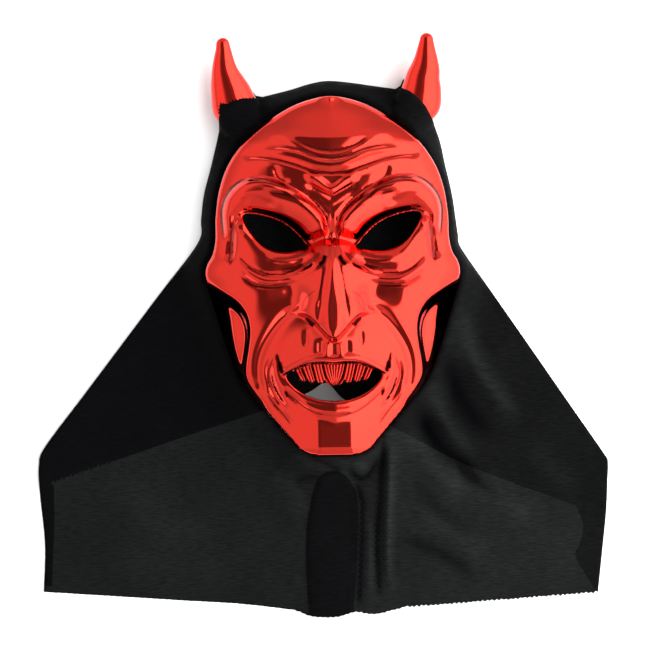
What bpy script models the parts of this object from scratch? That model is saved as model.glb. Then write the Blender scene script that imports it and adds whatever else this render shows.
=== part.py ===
"""Devil mask with two horns and a black cloth hood, lying on its back, face up.

The face looks along +Z and its crown points along +Y. The origin is on the
surface that the hood lies on, under the middle of the whole outline. The mask
is a thin moulded shell with open eyes and an open mouth, the horns come out
through the hood's sides, and the hood is one cloth bag with a front layer, a
shorter back layer and a face opening. Lengths are in millimetres, and only
the finished meshes are in metres.
"""
import math
from dataclasses import dataclass

import bpy
import numpy as np
from mathutils.geometry import delaunay_2d_cdt

METRES = 0.001
GAP = 0.35
TAU = 2.0 * math.pi

# The mask in its own frame: x from its middle line, y from half its height.
FACE_X = 6.7
FACE_Y = 35.4
FACE_TURN = math.radians(0.9)
FACE_TOP = 128.2
FACE_WIDTH = 182.0
CHIN_HALF = 18.0
FACE_RISE = -5.0
SHELL = 2.0
RIM_Z = 1.85
EDGE = 0.86
JAW_EDGE = 0.76
DOME_Y = 52.0
JAW_Y = -60.0
CROWN_SOFTNESS = 26.0
CHIN_SOFTNESS = 8.0
MEAN_EDGE = 0.5 * (EDGE + JAW_EDGE)

# The nose's lower edge on the middle line, and the chin's front.
NOSE_FOOT = -46.8
CHIN_FRONT = 49.0
CHIN_FLAT_HALF = 12.0
CHIN_LOW_Y = -122.5
CHIN_HIGH_Y = -104.5

# The teeth: the band they stand in, how far behind the lip, and their ribs.
TEETH_LOW_Y = -79.5
TEETH_HIGH_Y = -63.6
TEETH_HALF = 31.0
TEETH_BACK = -7.5
TEETH_BULGE = 2.4
RIB = 0.8
FRONT_TEETH_HALF = 9.0
FRONT_PITCH = 4.6
SIDE_PITCH = 3.5

# The mask's inside: thicker where the face is steep, and clear of the rim's foot.
INNER_SINK = 0.6
STEEPEST = 3.0
INNER_FLOOR = RIM_Z + 2.5

# How densely the mask and the hood are drawn.
FACE_STEP = 6.0
EYE_STEP = 0.62 * FACE_STEP
MOUTH_STEP = 0.6 * FACE_STEP
FOLD_STEP = 4.6
FINE_STEP = 4.6
COARSE_STEP = 7.2
HOOD_STEP = 30.0

# The hood's cloth and its outline.
CLOTH = 1.4
FLOOR_LAYER = 1.4
HOOD_LIFT = 17.0
HOOD_SPREAD = 15.0
FOLD_BAND = 3.5
OPENING_GROWTH = 0.75
HEM_STEP = 12.0
HORN_ROOM = 1.8
HORN_COVER = 0.9
HORN_FOLD_GAP = 3.0

# The horns: half their height is a share of half their width.
HORN_FLAT = 0.75
HORN_Z = 16.5
HORN_TIP_Z = 23.0
HORN_SIDES = 16


def ease(value):
    """Smooth step from 0 to 1."""
    t = np.clip(value, 0.0, 1.0)
    return t * t * (3.0 - 2.0 * t)


def smooth_line(points, spacing, closed=False):
    """Points evenly spaced along a smooth curve through the given points."""
    knots = np.asarray(points, dtype=float)
    count = len(knots)
    if closed:
        padded = np.vstack([knots[-1], knots, knots[0], knots[1]])
        spans = count
    else:
        padded = np.vstack([2 * knots[0] - knots[1], knots, 2 * knots[-1] - knots[-2]])
        spans = count - 1
    t = np.linspace(0.0, 1.0, 24, endpoint=False)[:, None]
    fine = []
    for k in range(spans):
        a, b, c, d = padded[k:k + 4]
        fine.append(0.5 * (2 * b + (c - a) * t + (2 * a - 5 * b + 4 * c - d) * t ** 2
                           + (3 * b - a - 3 * c + d) * t ** 3))
    fine.append(padded[spans + 1][None, :])
    fine = np.vstack(fine)
    steps = np.hypot(*np.diff(fine, axis=0).T)
    along = np.concatenate([[0.0], np.cumsum(steps)])
    pieces = max(2, round(along[-1] / spacing))
    wanted = np.linspace(0.0, along[-1], pieces + 1)
    if closed:
        wanted = wanted[:-1]
    return np.column_stack([np.interp(wanted, along, fine[:, axis]) for axis in (0, 1)])


def mirrored(half):
    """A closed outline from its right half, which runs from the top to the bottom."""
    right = np.asarray(half, dtype=float)
    left = right[::-1] * (-1.0, 1.0)
    keep = left[np.abs(left[:, 0]) > 1e-9]
    return np.vstack([right, keep])


def line_distance(x, y, line):
    """Each point's distance to a line, how far along it is, 0 to 1, and its side.

    The side is 1 on the left of the line's run and -1 on its right.
    """
    starts = line[:-1]
    runs = np.diff(line, axis=0)
    lengths = np.hypot(runs[:, 0], runs[:, 1])
    before = np.concatenate([[0.0], np.cumsum(lengths)])
    best = np.full(np.shape(x), 1e9)
    along = np.zeros(np.shape(x))
    side = np.ones(np.shape(x))
    for start, run, length, passed in zip(starts, runs, lengths, before):
        dx, dy = x - start[0], y - start[1]
        t = np.clip((dx * run[0] + dy * run[1]) / length ** 2, 0.0, 1.0)
        gap = np.hypot(dx - t * run[0], dy - t * run[1])
        nearer = gap < best
        best = np.where(nearer, gap, best)
        along = np.where(nearer, (passed + t * length) / before[-1], along)
        side = np.where(nearer, np.where(run[0] * dy - run[1] * dx > 0.0, 1.0, -1.0), side)
    return best, along, side


def inside(x, y, loop):
    """Whether each point is inside a closed loop."""
    result = np.zeros(np.shape(x), dtype=bool)
    for (x0, y0), (x1, y1) in zip(loop, np.roll(loop, -1, axis=0)):
        crosses = (y0 > y) != (y1 > y)
        reach = x0 + (y - y0) * (x1 - x0) / (y1 - y0 if y1 != y0 else 1e-12)
        result ^= crosses & (x < reach)
    return result


def grown(loop, by):
    """A loop moved outwards, to the left of its own clockwise run, by a distance."""
    before = np.roll(loop, 1, axis=0)
    after = np.roll(loop, -1, axis=0)
    run = after - before
    run /= np.hypot(run[:, 0], run[:, 1])[:, None]
    outward = np.column_stack([-run[:, 1], run[:, 0]])
    return loop + outward * by


def mound(x, y, centre, size, turn=0.0):
    """A smooth round hill of height 1."""
    c, s = math.cos(math.radians(turn)), math.sin(math.radians(turn))
    dx, dy = x - centre[0], y - centre[1]
    return np.exp(-((dx * c + dy * s) / size[0]) ** 2 - ((dy * c - dx * s) / size[1]) ** 2)


# Outlines of the mask's right half, from its top down.
FACE_HALF = (
    (0.0, FACE_TOP), (22.0, 123.6), (43.0, 112.3), (60.0, 98.6), (72.8, 81.4), (79.8, 63.4),
    (83.0, 43.0), (83.4, 27.0), (85.6, 16.5), (89.6, 9.0), (FACE_WIDTH / 2, 2.0), (89.6, -6.5),
    (86.6, -17.0), (81.5, -34.0), (74.2, -56.2), (63.4, -78.5), (30.2, -117.4), (25.0, -123.6),
    (CHIN_HALF, -127.3), (9.0, -FACE_TOP), (0.0, -FACE_TOP),
)
EYE = (
    (17.5, 20.3), (25.0, 29.4), (32.5, 36.0), (41.0, 40.6), (50.0, 43.4), (58.0, 44.8), (63.4, 43.6),
    (62.0, 38.0), (57.6, 31.0), (52.0, 25.0), (45.5, 20.8), (38.5, 18.4), (31.0, 18.0), (23.5, 19.0),
)
MOUTH_HALF = (
    (0.0, -78.2), (8.0, -77.6), (12.5, -75.6), (20.0, -74.2), (27.5, -71.8), (29.2, -67.6), (33.2, -69.4),
    (34.0, -72.2), (29.0, -78.8), (23.5, -84.0), (14.0, -88.0), (0.0, -89.6),
)


@dataclass(frozen=True)
class Fold:
    """A fold of the face along a line on its right half.

    A ridge is a round swelling (or a groove, below zero), a crease is a narrow
    cut with full sides, and a roll swells up from its line on one side only,
    1 for the left of the line's run and -1 for the right, and fades over its
    reach. The taper is the share of the line over which its ends fade.
    """

    kind: str
    line: tuple
    height: float
    width: float
    taper: float = 0.15
    reach: float = 12.0
    side: float = -1.0

    def relief(self, out, y):
        """Height that the fold adds at each point."""
        gap, along, side = line_distance(out, y, smooth_line(self.line, 2.0))
        fade = ease((1.0 - along) / self.taper)
        if self.line[0][0] > 0.0:
            fade = fade * ease(along / self.taper)
        if self.kind == "ridge":
            return self.height * fade * np.exp(-(gap / self.width) ** 2)
        if self.kind == "crease":
            soft = 0.3 * self.width
            return -self.height * fade * np.exp(-(np.hypot(gap, soft) - soft) / self.width)
        risen = (1.0 - np.exp(-gap / self.width)) * np.exp(-(gap / self.reach) ** 2)
        return self.height * fade * np.where(side == self.side, risen, -0.12 * np.exp(-gap / self.width))


def forehead_folds():
    """The level wrinkles that dip in the middle, and the V folds between the brows."""
    return (
        Fold("ridge", ((0.0, 97.5), (20.0, 97.5), (38.0, 98.0)), 2.6, 8.0, 0.5),
        Fold("crease", ((0.0, 87.8), (14.0, 90.2), (26.0, 95.8), (36.0, 99.5)), 1.6, 1.7, 0.4),
        Fold("ridge", ((0.0, 83.8), (15.0, 86.6), (27.5, 93.0), (42.0, 97.5)), 2.6, 2.8, 0.35),
        Fold("crease", ((0.0, 79.4), (14.0, 82.0), (28.0, 88.6), (44.0, 94.0)), 2.2, 2.0, 0.35),
        Fold("ridge", ((0.0, 71.8), (13.0, 73.4), (27.0, 79.6), (46.0, 86.0), (62.0, 87.4), (72.0, 84.0)),
             3.2, 3.0, 0.3),
        Fold("crease", ((0.0, 67.6), (12.0, 69.2), (26.0, 75.2), (44.0, 81.6), (62.0, 83.4)), 2.8, 2.1, 0.3),
        Fold("crease", ((14.0, 63.6), (26.0, 67.4), (35.5, 72.0), (39.0, 78.0)), 1.2, 3.0, 0.4),
        Fold("ridge", ((2.6, 57.8), (8.0, 60.6), (15.4, 65.2)), 3.0, 2.5, 0.4),
        Fold("crease", ((0.0, 53.4), (8.0, 57.2), (16.0, 61.8), (22.0, 66.0)), 2.4, 1.6, 0.35),
        Fold("ridge", ((0.0, 49.4), (8.0, 53.4), (16.0, 58.2), (25.0, 63.0)), 2.6, 2.2, 0.35),
    )


def eye_folds():
    """The roll of the brow, the lids round the eye and the bags below it."""
    return (
        Fold("roll", ((2.2, 25.0), (4.4, 36.0), (9.6, 47.5), (20.0, 58.2), (33.0, 65.0), (47.0, 68.6),
                      (60.0, 67.4), (70.0, 62.4), (77.4, 54.0), (80.2, 43.0), (79.0, 24.0)),
             7.0, 3.0, 0.1, 15.0, -1.0),
        Fold("crease", ((9.5, 26.0), (14.0, 32.5), (21.0, 40.5), (31.0, 48.6), (43.0, 53.8), (55.0, 56.2),
                        (67.0, 55.4), (73.4, 48.0), (75.4, 36.0), (75.0, 20.0)), 2.8, 2.0, 0.12),
        Fold("crease", ((67.4, 48.0), (69.8, 38.0), (69.2, 26.0), (67.4, 14.0)), 2.2, 1.8, 0.25),
        Fold("ridge", ((13.0, 18.5), (17.0, 25.0), (23.0, 32.0), (31.0, 39.2), (40.5, 44.2), (50.0, 47.0),
                       (59.0, 48.4), (66.4, 46.6), (66.0, 38.0), (61.0, 28.6), (54.6, 21.6), (46.6, 17.0),
                       (38.5, 14.8), (30.0, 14.4), (22.0, 15.6), (14.0, 18.0)), 3.4, 2.8, 0.05),
        Fold("crease", ((38.0, 8.8), (28.0, 10.4), (20.0, 14.0), (12.5, 19.0)), 1.3, 1.3, 0.25),
        Fold("ridge", ((66.0, 18.0), (55.0, 9.4), (43.0, 5.6), (30.0, 6.4), (19.0, 10.6)), 3.0, 4.6, 0.2),
        Fold("crease", ((69.0, 12.6), (62.0, 6.6), (52.0, 1.6), (40.4, -0.6), (30.0, 0.8), (19.6, 6.2),
                        (10.0, 16.6)), 2.4, 1.7, 0.15),
        Fold("crease", ((70.0, 6.0), (58.6, -1.2), (45.4, -5.8), (31.0, -5.6), (18.0, 1.6), (7.4, 13.0)),
             3.6, 2.2, 0.15),
        Fold("crease", ((82.0, 6.6), (77.0, 3.4), (70.0, -2.0), (64.0, -7.0)), 1.8, 1.8, 0.25),
    )


def cheek_folds():
    """The deep fold from the nose round the mouth to the chin, and the folds inside it."""
    main = ((21.5, -15.5), (30.0, -20.5), (38.5, -28.6), (45.0, -38.0), (49.6, -47.5), (52.2, -57.0),
            (52.8, -66.0), (50.6, -76.0), (46.0, -86.0), (38.6, -96.4), (30.0, -106.5))
    return (
        Fold("crease", main, 3.0, 2.4, 0.12),
        Fold("roll", main, 3.6, 3.0, 0.16, 9.0, 1.0),
        Fold("crease", ((42.0, -52.0), (45.6, -62.0), (45.0, -73.0), (40.6, -83.6), (33.0, -94.0)),
             2.6, 2.0, 0.25),
        Fold("ridge", ((40.4, -54.0), (42.0, -63.0), (41.0, -73.0), (37.0, -83.0), (30.6, -92.0)),
             2.0, 2.4, 0.25),
        Fold("crease", ((39.0, -53.6), (38.4, -60.0), (35.8, -66.6)), 3.2, 2.2, 0.25),
        Fold("crease", ((25.0, -20.5), (34.0, -26.5), (41.0, -35.0)), 1.2, 1.5, 0.3),
    )


def mouth_folds():
    """The lips, the furrow above them and the furrow over the chin."""
    return (
        Fold("ridge", ((0.0, -60.6), (12.0, -60.2), (22.0, -61.2), (30.0, -64.8), (36.0, -69.6),
                       (40.0, -72.6)), 3.0, 2.4, 0.15),
        Fold("ridge", ((0.0, -92.4), (12.0, -91.4), (23.0, -87.4), (31.0, -81.0), (39.0, -72.8)),
             3.2, 2.4, 0.15),
        Fold("crease", ((0.0, -95.6), (12.0, -94.6), (24.0, -90.0), (33.0, -82.6)), 1.3, 1.4, 0.2),
        Fold("crease", ((0.0, -100.8), (10.5, -99.8), (19.0, -96.0), (28.0, -90.0), (36.0, -81.6)),
             3.2, 2.4, 0.12),
        Fold("ridge", ((0.0, -100.0), (10.5, -99.6), (19.0, -97.0)), -3.0, 3.6, 0.4),
        Fold("ridge", ((5.2, -44.0), (6.4, -57.5)), 2.0, 1.9, 0.3),
        Fold("ridge", ((0.0, -45.0), (0.0, -57.5)), -1.6, 2.6, 0.3),
    )


def folds():
    """Every fold of the face's right half."""
    return forehead_folds() + eye_folds() + cheek_folds() + mouth_folds()


def half_width(y):
    """Half the mask's width at a height."""
    outline = smooth_line(mirrored(FACE_HALF), 1.0, True)
    right = outline[outline[:, 0] >= 0.0]
    order = np.argsort(right[:, 1], kind="stable")
    return np.interp(y, right[order, 1], right[order, 0])


def reach_share(out, y, centre_y, upward, soften):
    """Each point's distance from a centre on the middle line over the outline's distance that way."""
    outline = smooth_line(mirrored(FACE_HALF), 1.0, True)
    right = outline[outline[:, 0] >= 0.0]
    rise = (right[:, 1] - centre_y) * upward
    ahead = right[rise >= -4.0]
    bearing = np.arctan2((ahead[:, 1] - centre_y) * upward, ahead[:, 0])
    order = np.argsort(bearing, kind="stable")
    there = np.arctan2((y - centre_y) * upward, np.hypot(out, soften))
    limit = np.interp(there, bearing[order], np.hypot(ahead[:, 0], ahead[:, 1] - centre_y)[order])
    return np.hypot(out, y - centre_y) / limit


def base_form(x, y):
    """The mask's large form: a dome in the forehead, narrowing to a blunt jaw."""
    level = np.interp(y, (-128.0, -100.0, -84.0, -62.0, -35.0, -5.0, 20.0, 45.0, 62.0),
                      (50.0, 54.0, 57.0, 59.0, 55.0, 51.0, 50.5, 55.0, 57.0))
    power = np.interp(y, (-60.0, -10.0, 40.0), (2.2, 2.2, 2.1))
    edge = np.interp(y, (-90.0, -50.0, -10.0), (JAW_EDGE, MEAN_EDGE, EDGE))
    out = np.abs(x)
    share = out / np.maximum(half_width(y), 1.0)
    share = np.where(y > DOME_Y, reach_share(out, y, DOME_Y, 1.0, CROWN_SOFTNESS), share)
    share = np.where(y < JAW_Y, reach_share(out, y, JAW_Y, -1.0, CHIN_SOFTNESS), share)
    return level * np.sqrt(1.0 - (edge * np.clip(share, 0.0, 1.1)) ** power)


def nose(x, y):
    """The hooked nose: a sharp ridge that widens to a hooked tip, with two small swept wings."""
    out = np.abs(x)
    height = np.interp(y, (-46.0, -40.0, -33.0, -20.0, -4.0, 10.0, 20.0, 34.0),
                       (15.0, 19.0, 20.0, 17.5, 13.5, 9.5, 6.0, 0.0))
    width = np.interp(y, (-44.0, -34.0, -20.0, -4.0, 14.0, 26.0), (9.4, 10.4, 8.8, 6.8, 4.8, 3.6))
    crest = np.sqrt(1.0 + (out / width) ** 2) - 1.0
    ridge = height * (0.6 / (1.0 + 1.6 * crest) ** 2 + 0.4 * np.exp(-(out / 14.5) ** 2))
    wing = 7.5 * mound(out, y, (16.2, -23.0), (5.6, 8.4), -26.0)
    foot = NOSE_FOOT + np.hypot(out, 2.0)
    return (ridge + wing) * ease((y - foot + 1.6) / 3.2)


def broad_forms(x, y):
    """Sockets, cheekbones, hollow cheeks, muzzle and chin, on the mask's large form."""
    out = np.abs(x)
    z = base_form(x, y)
    z -= 7.5 * mound(out, y, (0.0, 22.0), (13.0, 11.0))
    z -= 9.5 * mound(out, y, (34.0, 29.0), (28.0, 14.0), 26.0)
    z += 9.0 * mound(out, y, (70.0, 3.0), (20.0, 12.0), 14.0)
    z += 5.0 * mound(out, y, (55.0, -17.0), (19.0, 12.0), -30.0)
    z -= 3.0 * mound(out, y, (27.0, -12.0), (7.0, 12.0), -38.0)
    z += 8.0 * mound(np.hypot(out, 4.0), y, (6.0, -48.0), (20.0, 17.0))
    chin = CHIN_FRONT - 0.5 * np.clip(out - CHIN_FLAT_HALF, 0.0, None)
    chin -= 0.7 * np.clip(CHIN_LOW_Y - y, 0.0, None)
    chin -= 1.1 * np.clip(y - CHIN_HIGH_Y, 0.0, None)
    z = np.logaddexp(z / 0.8, chin / 0.8) * 0.8
    return z - cheek_hollow(out, y)


def cheek_hollow(out, y):
    """How deep the hollow below the cheekbone is: a steep inner wall, a floor and a rolled-off rim."""
    wall_x = np.interp(y, (-100.0, -88.0, -74.0, -63.0, -45.0, -36.0, -28.0, -20.0, -12.0, -4.0, 0.0),
                       (42.0, 52.0, 59.0, 59.8, 57.2, 57.2, 60.0, 65.5, 74.0, 84.0, 89.0))
    wall = np.interp(y, (-60.0, -45.0, -30.0, -10.0), (3.0, 5.0, 9.0, 16.0))
    depth = np.interp(y, (-106.0, -92.0, -74.0, -60.0, -45.0, -28.0, -18.0, -8.0, -2.0, 2.0),
                      (0.0, 3.0, 6.0, 8.0, 11.0, 16.0, 16.0, 11.0, 4.0, 0.0))
    rim_depth = np.interp(y, (-100.0, -84.0, -34.0, -12.0), (0.0, 7.0, 7.0, 0.0))
    rim = np.interp(y, (-84.0, -34.0), (4.0, 6.0))
    to_edge = half_width(y) - out
    return depth * ease((out - wall_x) / wall) + rim_depth * ease((rim - to_edge) / rim)


def teeth(x, y):
    """The row of long ribbed teeth under the upper lip, set back behind it."""
    out = np.abs(x)
    band = ease(y - TEETH_LOW_Y) * ease((TEETH_HIGH_Y - y) / 1.6) * ease((TEETH_HALF - out) / 2.0)
    set_back = TEETH_BACK + TEETH_BULGE * mound(x, y, (0.0, -73.0), (FRONT_TEETH_HALF, 8.0))
    pitch = np.where(out < FRONT_TEETH_HALF, FRONT_PITCH, SIDE_PITCH)
    ribs = RIB * np.cos(TAU * out / pitch)
    return band * (set_back + ribs)


def face_height(x, y):
    """The height of the mask's outside over its rim."""
    out = np.abs(x)
    z = broad_forms(x, y) + nose(x, y) + teeth(x, y) + FACE_RISE
    for fold in folds():
        z = z + fold.relief(out, y)
    return z


def spaced(groups):
    """Points from (points, spacing) groups, each kept only where it is clear of the earlier ones."""
    kept = np.empty((0, 2))
    for points, spacing in groups:
        for point in points:
            if not len(kept) or np.min(np.hypot(*(kept - point).T)) > spacing:
                kept = np.vstack([kept, point])
    return kept


def plan_of(loops, free_points, lines=()):
    """One triangulated plan: its points and triangles, with loops and open lines as its edges."""
    points = []
    edges = []
    for loop in loops:
        first = len(points)
        points += [tuple(p) for p in loop]
        edges += [(first + k, first + (k + 1) % len(loop)) for k in range(len(loop))]
    for line in lines:
        first = len(points)
        points += [tuple(p) for p in line]
        edges += [(first + k, first + k + 1) for k in range(len(line) - 1)]
    points += [tuple(p) for p in free_points]
    result = delaunay_2d_cdt([(float(a), float(b)) for a, b in points], edges, [], 0, 1e-5)
    corners = np.array([tuple(v) for v in result[0]])
    triangles = np.array(result[2], dtype=int)
    a, b, c = (corners[triangles[:, k]] for k in range(3))
    turn = (b[:, 0] - a[:, 0]) * (c[:, 1] - a[:, 1]) - (b[:, 1] - a[:, 1]) * (c[:, 0] - a[:, 0])
    triangles[turn < 0] = triangles[turn < 0][:, ::-1]
    return corners, triangles[np.abs(turn) > 1e-7]


def stacked_mesh(corners, triangles, sheets, solid):
    """Close a solid between sheets stacked over one plan.

    sheets holds each sheet's height at each plan point, from the lowest up,
    and solid says for each triangle which of the layers between them it fills.
    """
    index = {}
    points = []
    faces = []

    def corner(sheet, k):
        key = (sheet, k)
        if key not in index:
            index[key] = len(points)
            points.append((corners[k][0], corners[k][1], sheets[sheet][k]))
        return index[key]

    layers = len(sheets) - 1
    sides = {}
    for number, triangle in enumerate(triangles):
        filled = [bool(solid[layer][number]) for layer in range(layers)]
        for level in range(layers + 1):
            below = level > 0 and filled[level - 1]
            above = level < layers and filled[level]
            if below and not above:
                faces.append([corner(level, k) for k in triangle])
            if above and not below:
                faces.append([corner(level, k) for k in triangle[::-1]])
        for k in range(3):
            i, j = int(triangle[k]), int(triangle[(k + 1) % 3])
            sides[(i, j)] = filled
    for (i, j), filled in sides.items():
        other = sides.get((j, i), [False] * layers)
        for layer in range(layers):
            if filled[layer] and not other[layer]:
                low = [corner(layer, i), corner(layer, j)]
                faces.append(low + [corner(layer + 1, j), corner(layer + 1, i)])
    return points, faces


def add_object(name, points, faces, material, turn=0.0, shift=(0.0, 0.0, 0.0)):
    """Make one object from points in millimetres, placed by its own turn and location."""
    mesh = bpy.data.meshes.new(name)
    mesh.from_pydata([tuple(float(c) * METRES for c in p) for p in points], [], faces)
    mesh.validate()
    mesh.update()
    mesh.materials.append(material)
    mesh.shade_smooth()
    mesh.set_sharp_from_angle(angle=math.radians(50.0))
    piece = bpy.data.objects.new(name, mesh)
    bpy.context.collection.objects.link(piece)
    piece.rotation_euler = (0.0, 0.0, turn)
    piece.location = tuple(float(c) * METRES for c in shift)
    return piece


def finish(name, colour, roughness, metallic):
    """A plain material."""
    material = bpy.data.materials.new(name)
    material.use_nodes = True
    shader = material.node_tree.nodes["Principled BSDF"]
    shader.inputs["Base Color"].default_value = (*colour, 1.0)
    shader.inputs["Roughness"].default_value = roughness
    shader.inputs["Metallic"].default_value = metallic
    return material


def red_plastic():
    """The red metallised plastic of the mask and horns."""
    return finish("red_metallised_plastic", (0.62, 0.03, 0.02), 0.12, 0.9)


def black_cloth():
    """The hood's thin black knitted cloth."""
    return finish("black_knit_cloth", (0.008, 0.008, 0.009), 0.85, 0.0)


def lattice(low, high, spacing):
    """Points of a triangular lattice that fills a box."""
    rows = np.arange(low[1], high[1], spacing * math.sqrt(0.75))
    found = []
    for number, y in enumerate(rows):
        xs = np.arange(low[0] + (number % 2) * spacing / 2, high[0], spacing)
        found.append(np.column_stack([xs, np.full(len(xs), y)]))
    return np.vstack(found)


def face_loops():
    """The mask's outline, its inner rim line, its eyes and its mouth."""
    outline = smooth_line(mirrored(FACE_HALF), FACE_STEP, True)
    rim = grown(outline, -SHELL)
    right_eye = smooth_line(EYE, EYE_STEP, True)
    left_eye = right_eye[::-1] * (-1.0, 1.0)
    mouth = smooth_line(mirrored(MOUTH_HALF), MOUTH_STEP, True)
    return outline, rim, right_eye, left_eye, mouth


def in_holes(points, holes):
    """Whether each point is in one of the holes."""
    result = np.zeros(len(points), dtype=bool)
    for hole in holes:
        result |= inside(points[:, 0], points[:, 1], hole)
    return result


def face_points(rim, eyes, mouth):
    """Points of the mask's plan, along its folds, down its nose and in a lattice, clear of every edge."""
    groups = []
    for fold in folds():
        line = smooth_line(fold.line, FOLD_STEP)
        both = np.vstack([line, line * (-1.0, 1.0)])
        groups.append((both, 3.4))
    middle = np.column_stack([np.zeros(16), np.linspace(-46.0, 30.0, 16)])
    fine = lattice((-70.0, -100.0), (70.0, 70.0), FINE_STEP)
    coarse = lattice((-92.0, -128.0), (92.0, 128.0), COARSE_STEP)
    groups += [(middle, 3.0), (fine, 4.3), (coarse, 6.0)]
    free = spaced(groups)
    clear = inside(free[:, 0], free[:, 1], rim) & ~in_holes(free, (*eyes, mouth))
    for loop, room in ((rim, 2.6), (eyes[0], 1.9), (eyes[1], 1.9), (mouth, 1.7)):
        gap, _, _ = line_distance(free[:, 0], free[:, 1], np.vstack([loop, loop[:1]]))
        clear &= gap > room
    return free[clear]


def inner_height(x, y):
    """The height of the mask's inside, which follows its outside without the finest wrinkles."""
    soft = np.minimum(broad_forms(x, y) + nose(x, y) + FACE_RISE, face_height(x, y) + INNER_SINK)
    slope_x = (face_height(x + 1.0, y) - face_height(x - 1.0, y)) / 2.0
    slope_y = (face_height(x, y + 1.0) - face_height(x, y - 1.0)) / 2.0
    steep = np.sqrt(1.0 + slope_x ** 2 + slope_y ** 2)
    under = soft - INNER_SINK - SHELL * np.clip(steep, 1.0, STEEPEST)
    return np.maximum(under, INNER_FLOOR)


def mask_shell(material):
    """The moulded face: an outer and an inner sheet, and a rim that stands on the hood's back layer."""
    loops = face_loops()
    outline, rim, right_eye, left_eye, mouth = loops
    corners, triangles = plan_of(loops, face_points(rim, (right_eye, left_eye), mouth))
    mid = corners[triangles].mean(axis=1)
    keep = inside(mid[:, 0], mid[:, 1], outline) & ~in_holes(mid, (right_eye, left_eye, mouth))
    triangles = triangles[keep]
    mid = mid[keep]
    x, y = corners[:, 0], corners[:, 1]
    base = np.full(len(x), RIM_Z)
    on_rim = ~inside(mid[:, 0], mid[:, 1], rim)
    everywhere = np.ones(len(triangles), dtype=bool)
    sheets = (base, inner_height(x, y), face_height(x, y))
    points, faces = stacked_mesh(corners, triangles, sheets, (on_rim, everywhere))
    return add_object("mask_shell", points, faces, material, FACE_TURN, (FACE_X, FACE_Y, 0.0))


# Each horn's middle line and half width, from its root beside the mask to its tip.
HORN_RIGHT = (
    (60.6, 143.6, 16.8), (65.6, 150.6, 16.4), (69.0, 159.5, 15.5), (70.6, 169.6, 14.2), (71.4, 177.0, 12.5),
    (72.6, 184.2, 10.2), (73.2, 191.2, 7.8), (73.4, 198.2, 6.1), (73.8, 204.6, 4.9),
)
HORN_LEFT = (
    (-56.0, 138.6, 16.8), (-60.6, 146.2, 16.6), (-63.4, 156.0, 16.2), (-66.2, 166.0, 14.8),
    (-68.8, 174.4, 12.4), (-70.6, 182.0, 9.7), (-71.4, 189.6, 7.6), (-71.6, 196.0, 6.0), (-72.0, 201.0, 4.9),
)


def horn_profile(stations, spacing):
    """A horn's middle line with its half width and height at each place."""
    table = np.asarray(stations)
    line = smooth_line(table[:, :2], spacing)
    _, along, _ = line_distance(line[:, 0], line[:, 1], table[:, :2])
    _, at_station, _ = line_distance(table[:, 0], table[:, 1], table[:, :2])
    radius = np.interp(along, at_station, table[:, 2])
    height = HORN_Z + (HORN_TIP_Z - HORN_Z) * along ** 1.5
    return line, radius, height


def horn(name, stations, material):
    """A curved tapering horn with a round tip, its flat root facing the mask's side."""
    line, radius, height = horn_profile(stations, 6.5)
    run = np.gradient(line, axis=0)
    run /= np.hypot(run[:, 0], run[:, 1])[:, None]
    tip_turns = np.radians((30.0, 55.0, 75.0))
    tip = radius[-1]
    line = np.vstack([line, line[-1] + np.outer(np.sin(tip_turns), run[-1]) * tip])
    radius = np.concatenate([radius, tip * np.cos(tip_turns)])
    height = np.concatenate([height, np.full(len(tip_turns), height[-1])])
    run = np.vstack([run, np.tile(run[-1], (len(tip_turns), 1))])
    points = []
    for (x, y), r, z, (run_x, run_y) in zip(line, radius, height, run):
        for k in range(HORN_SIDES):
            turn = TAU * k / HORN_SIDES
            side = r * math.cos(turn)
            points.append((x - side * run_y, y + side * run_x, z + r * HORN_FLAT * math.sin(turn)))
    end = line[-1] + run[-1] * tip * (1.0 - math.sin(tip_turns[-1]))
    points.append((end[0], end[1], height[-1]))
    faces = [list(range(HORN_SIDES))[::-1]]
    rings = len(line)
    for ring in range(rings - 1):
        for k in range(HORN_SIDES):
            a = ring * HORN_SIDES + k
            b = ring * HORN_SIDES + (k + 1) % HORN_SIDES
            faces.append([a, b, b + HORN_SIDES, a + HORN_SIDES])
    last = (rings - 1) * HORN_SIDES
    faces += [[last + k, last + (k + 1) % HORN_SIDES, len(points) - 1] for k in range(HORN_SIDES)]
    return add_object(name, points, faces, material)


# The hood's outline from the crown clockwise, round the two cut-outs in front of the horns.
HOOD_OUTLINE = (
    (3.3, 175.8), (19.2, 174.6), (35.0, 172.3), (51.6, 170.1), (56.6, 170.1), (62.4, 166.5), (68.1, 162.1),
    (73.2, 156.4), (76.8, 149.9), (80.0, 143.4), (84.0, 131.9), (87.6, 115.3), (92.6, 93.7), (96.9, 64.9),
    (99.1, 55.6), (125.0, 18.4), (150.0, -17.5), (176.0, -55.0), (201.3, -91.3), (204.7, -98.0),
    (204.4, -112.2), (203.5, -134.5), (200.8, -162.0), (197.7, -192.1), (156.0, -195.3), (114.9, -198.6),
    (86.0, -200.8), (58.8, -202.9), (37.9, -207.9), (22.8, -206.5), (9.8, -210.0), (-7.5, -209.6),
    (-20.4, -205.1), (-58.6, -200.7), (-104.0, -198.0), (-152.0, -195.0), (-201.2, -192.1), (-200.4, -157.5),
    (-204.2, -119.4), (-204.7, -100.7), (-200.4, -87.7), (-172.0, -49.8), (-145.0, -13.8), (-118.0, 22.2),
    (-90.3, 59.2), (-88.1, 75.7), (-86.0, 93.7), (-81.6, 111.0), (-78.0, 126.0), (-75.2, 139.1),
    (-74.8, 149.2), (-74.4, 160.0), (-69.4, 157.8), (-64.4, 160.7), (-48.5, 162.1), (-43.5, 164.3),
    (-24.0, 169.3), (-9.6, 173.7),
)
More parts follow.
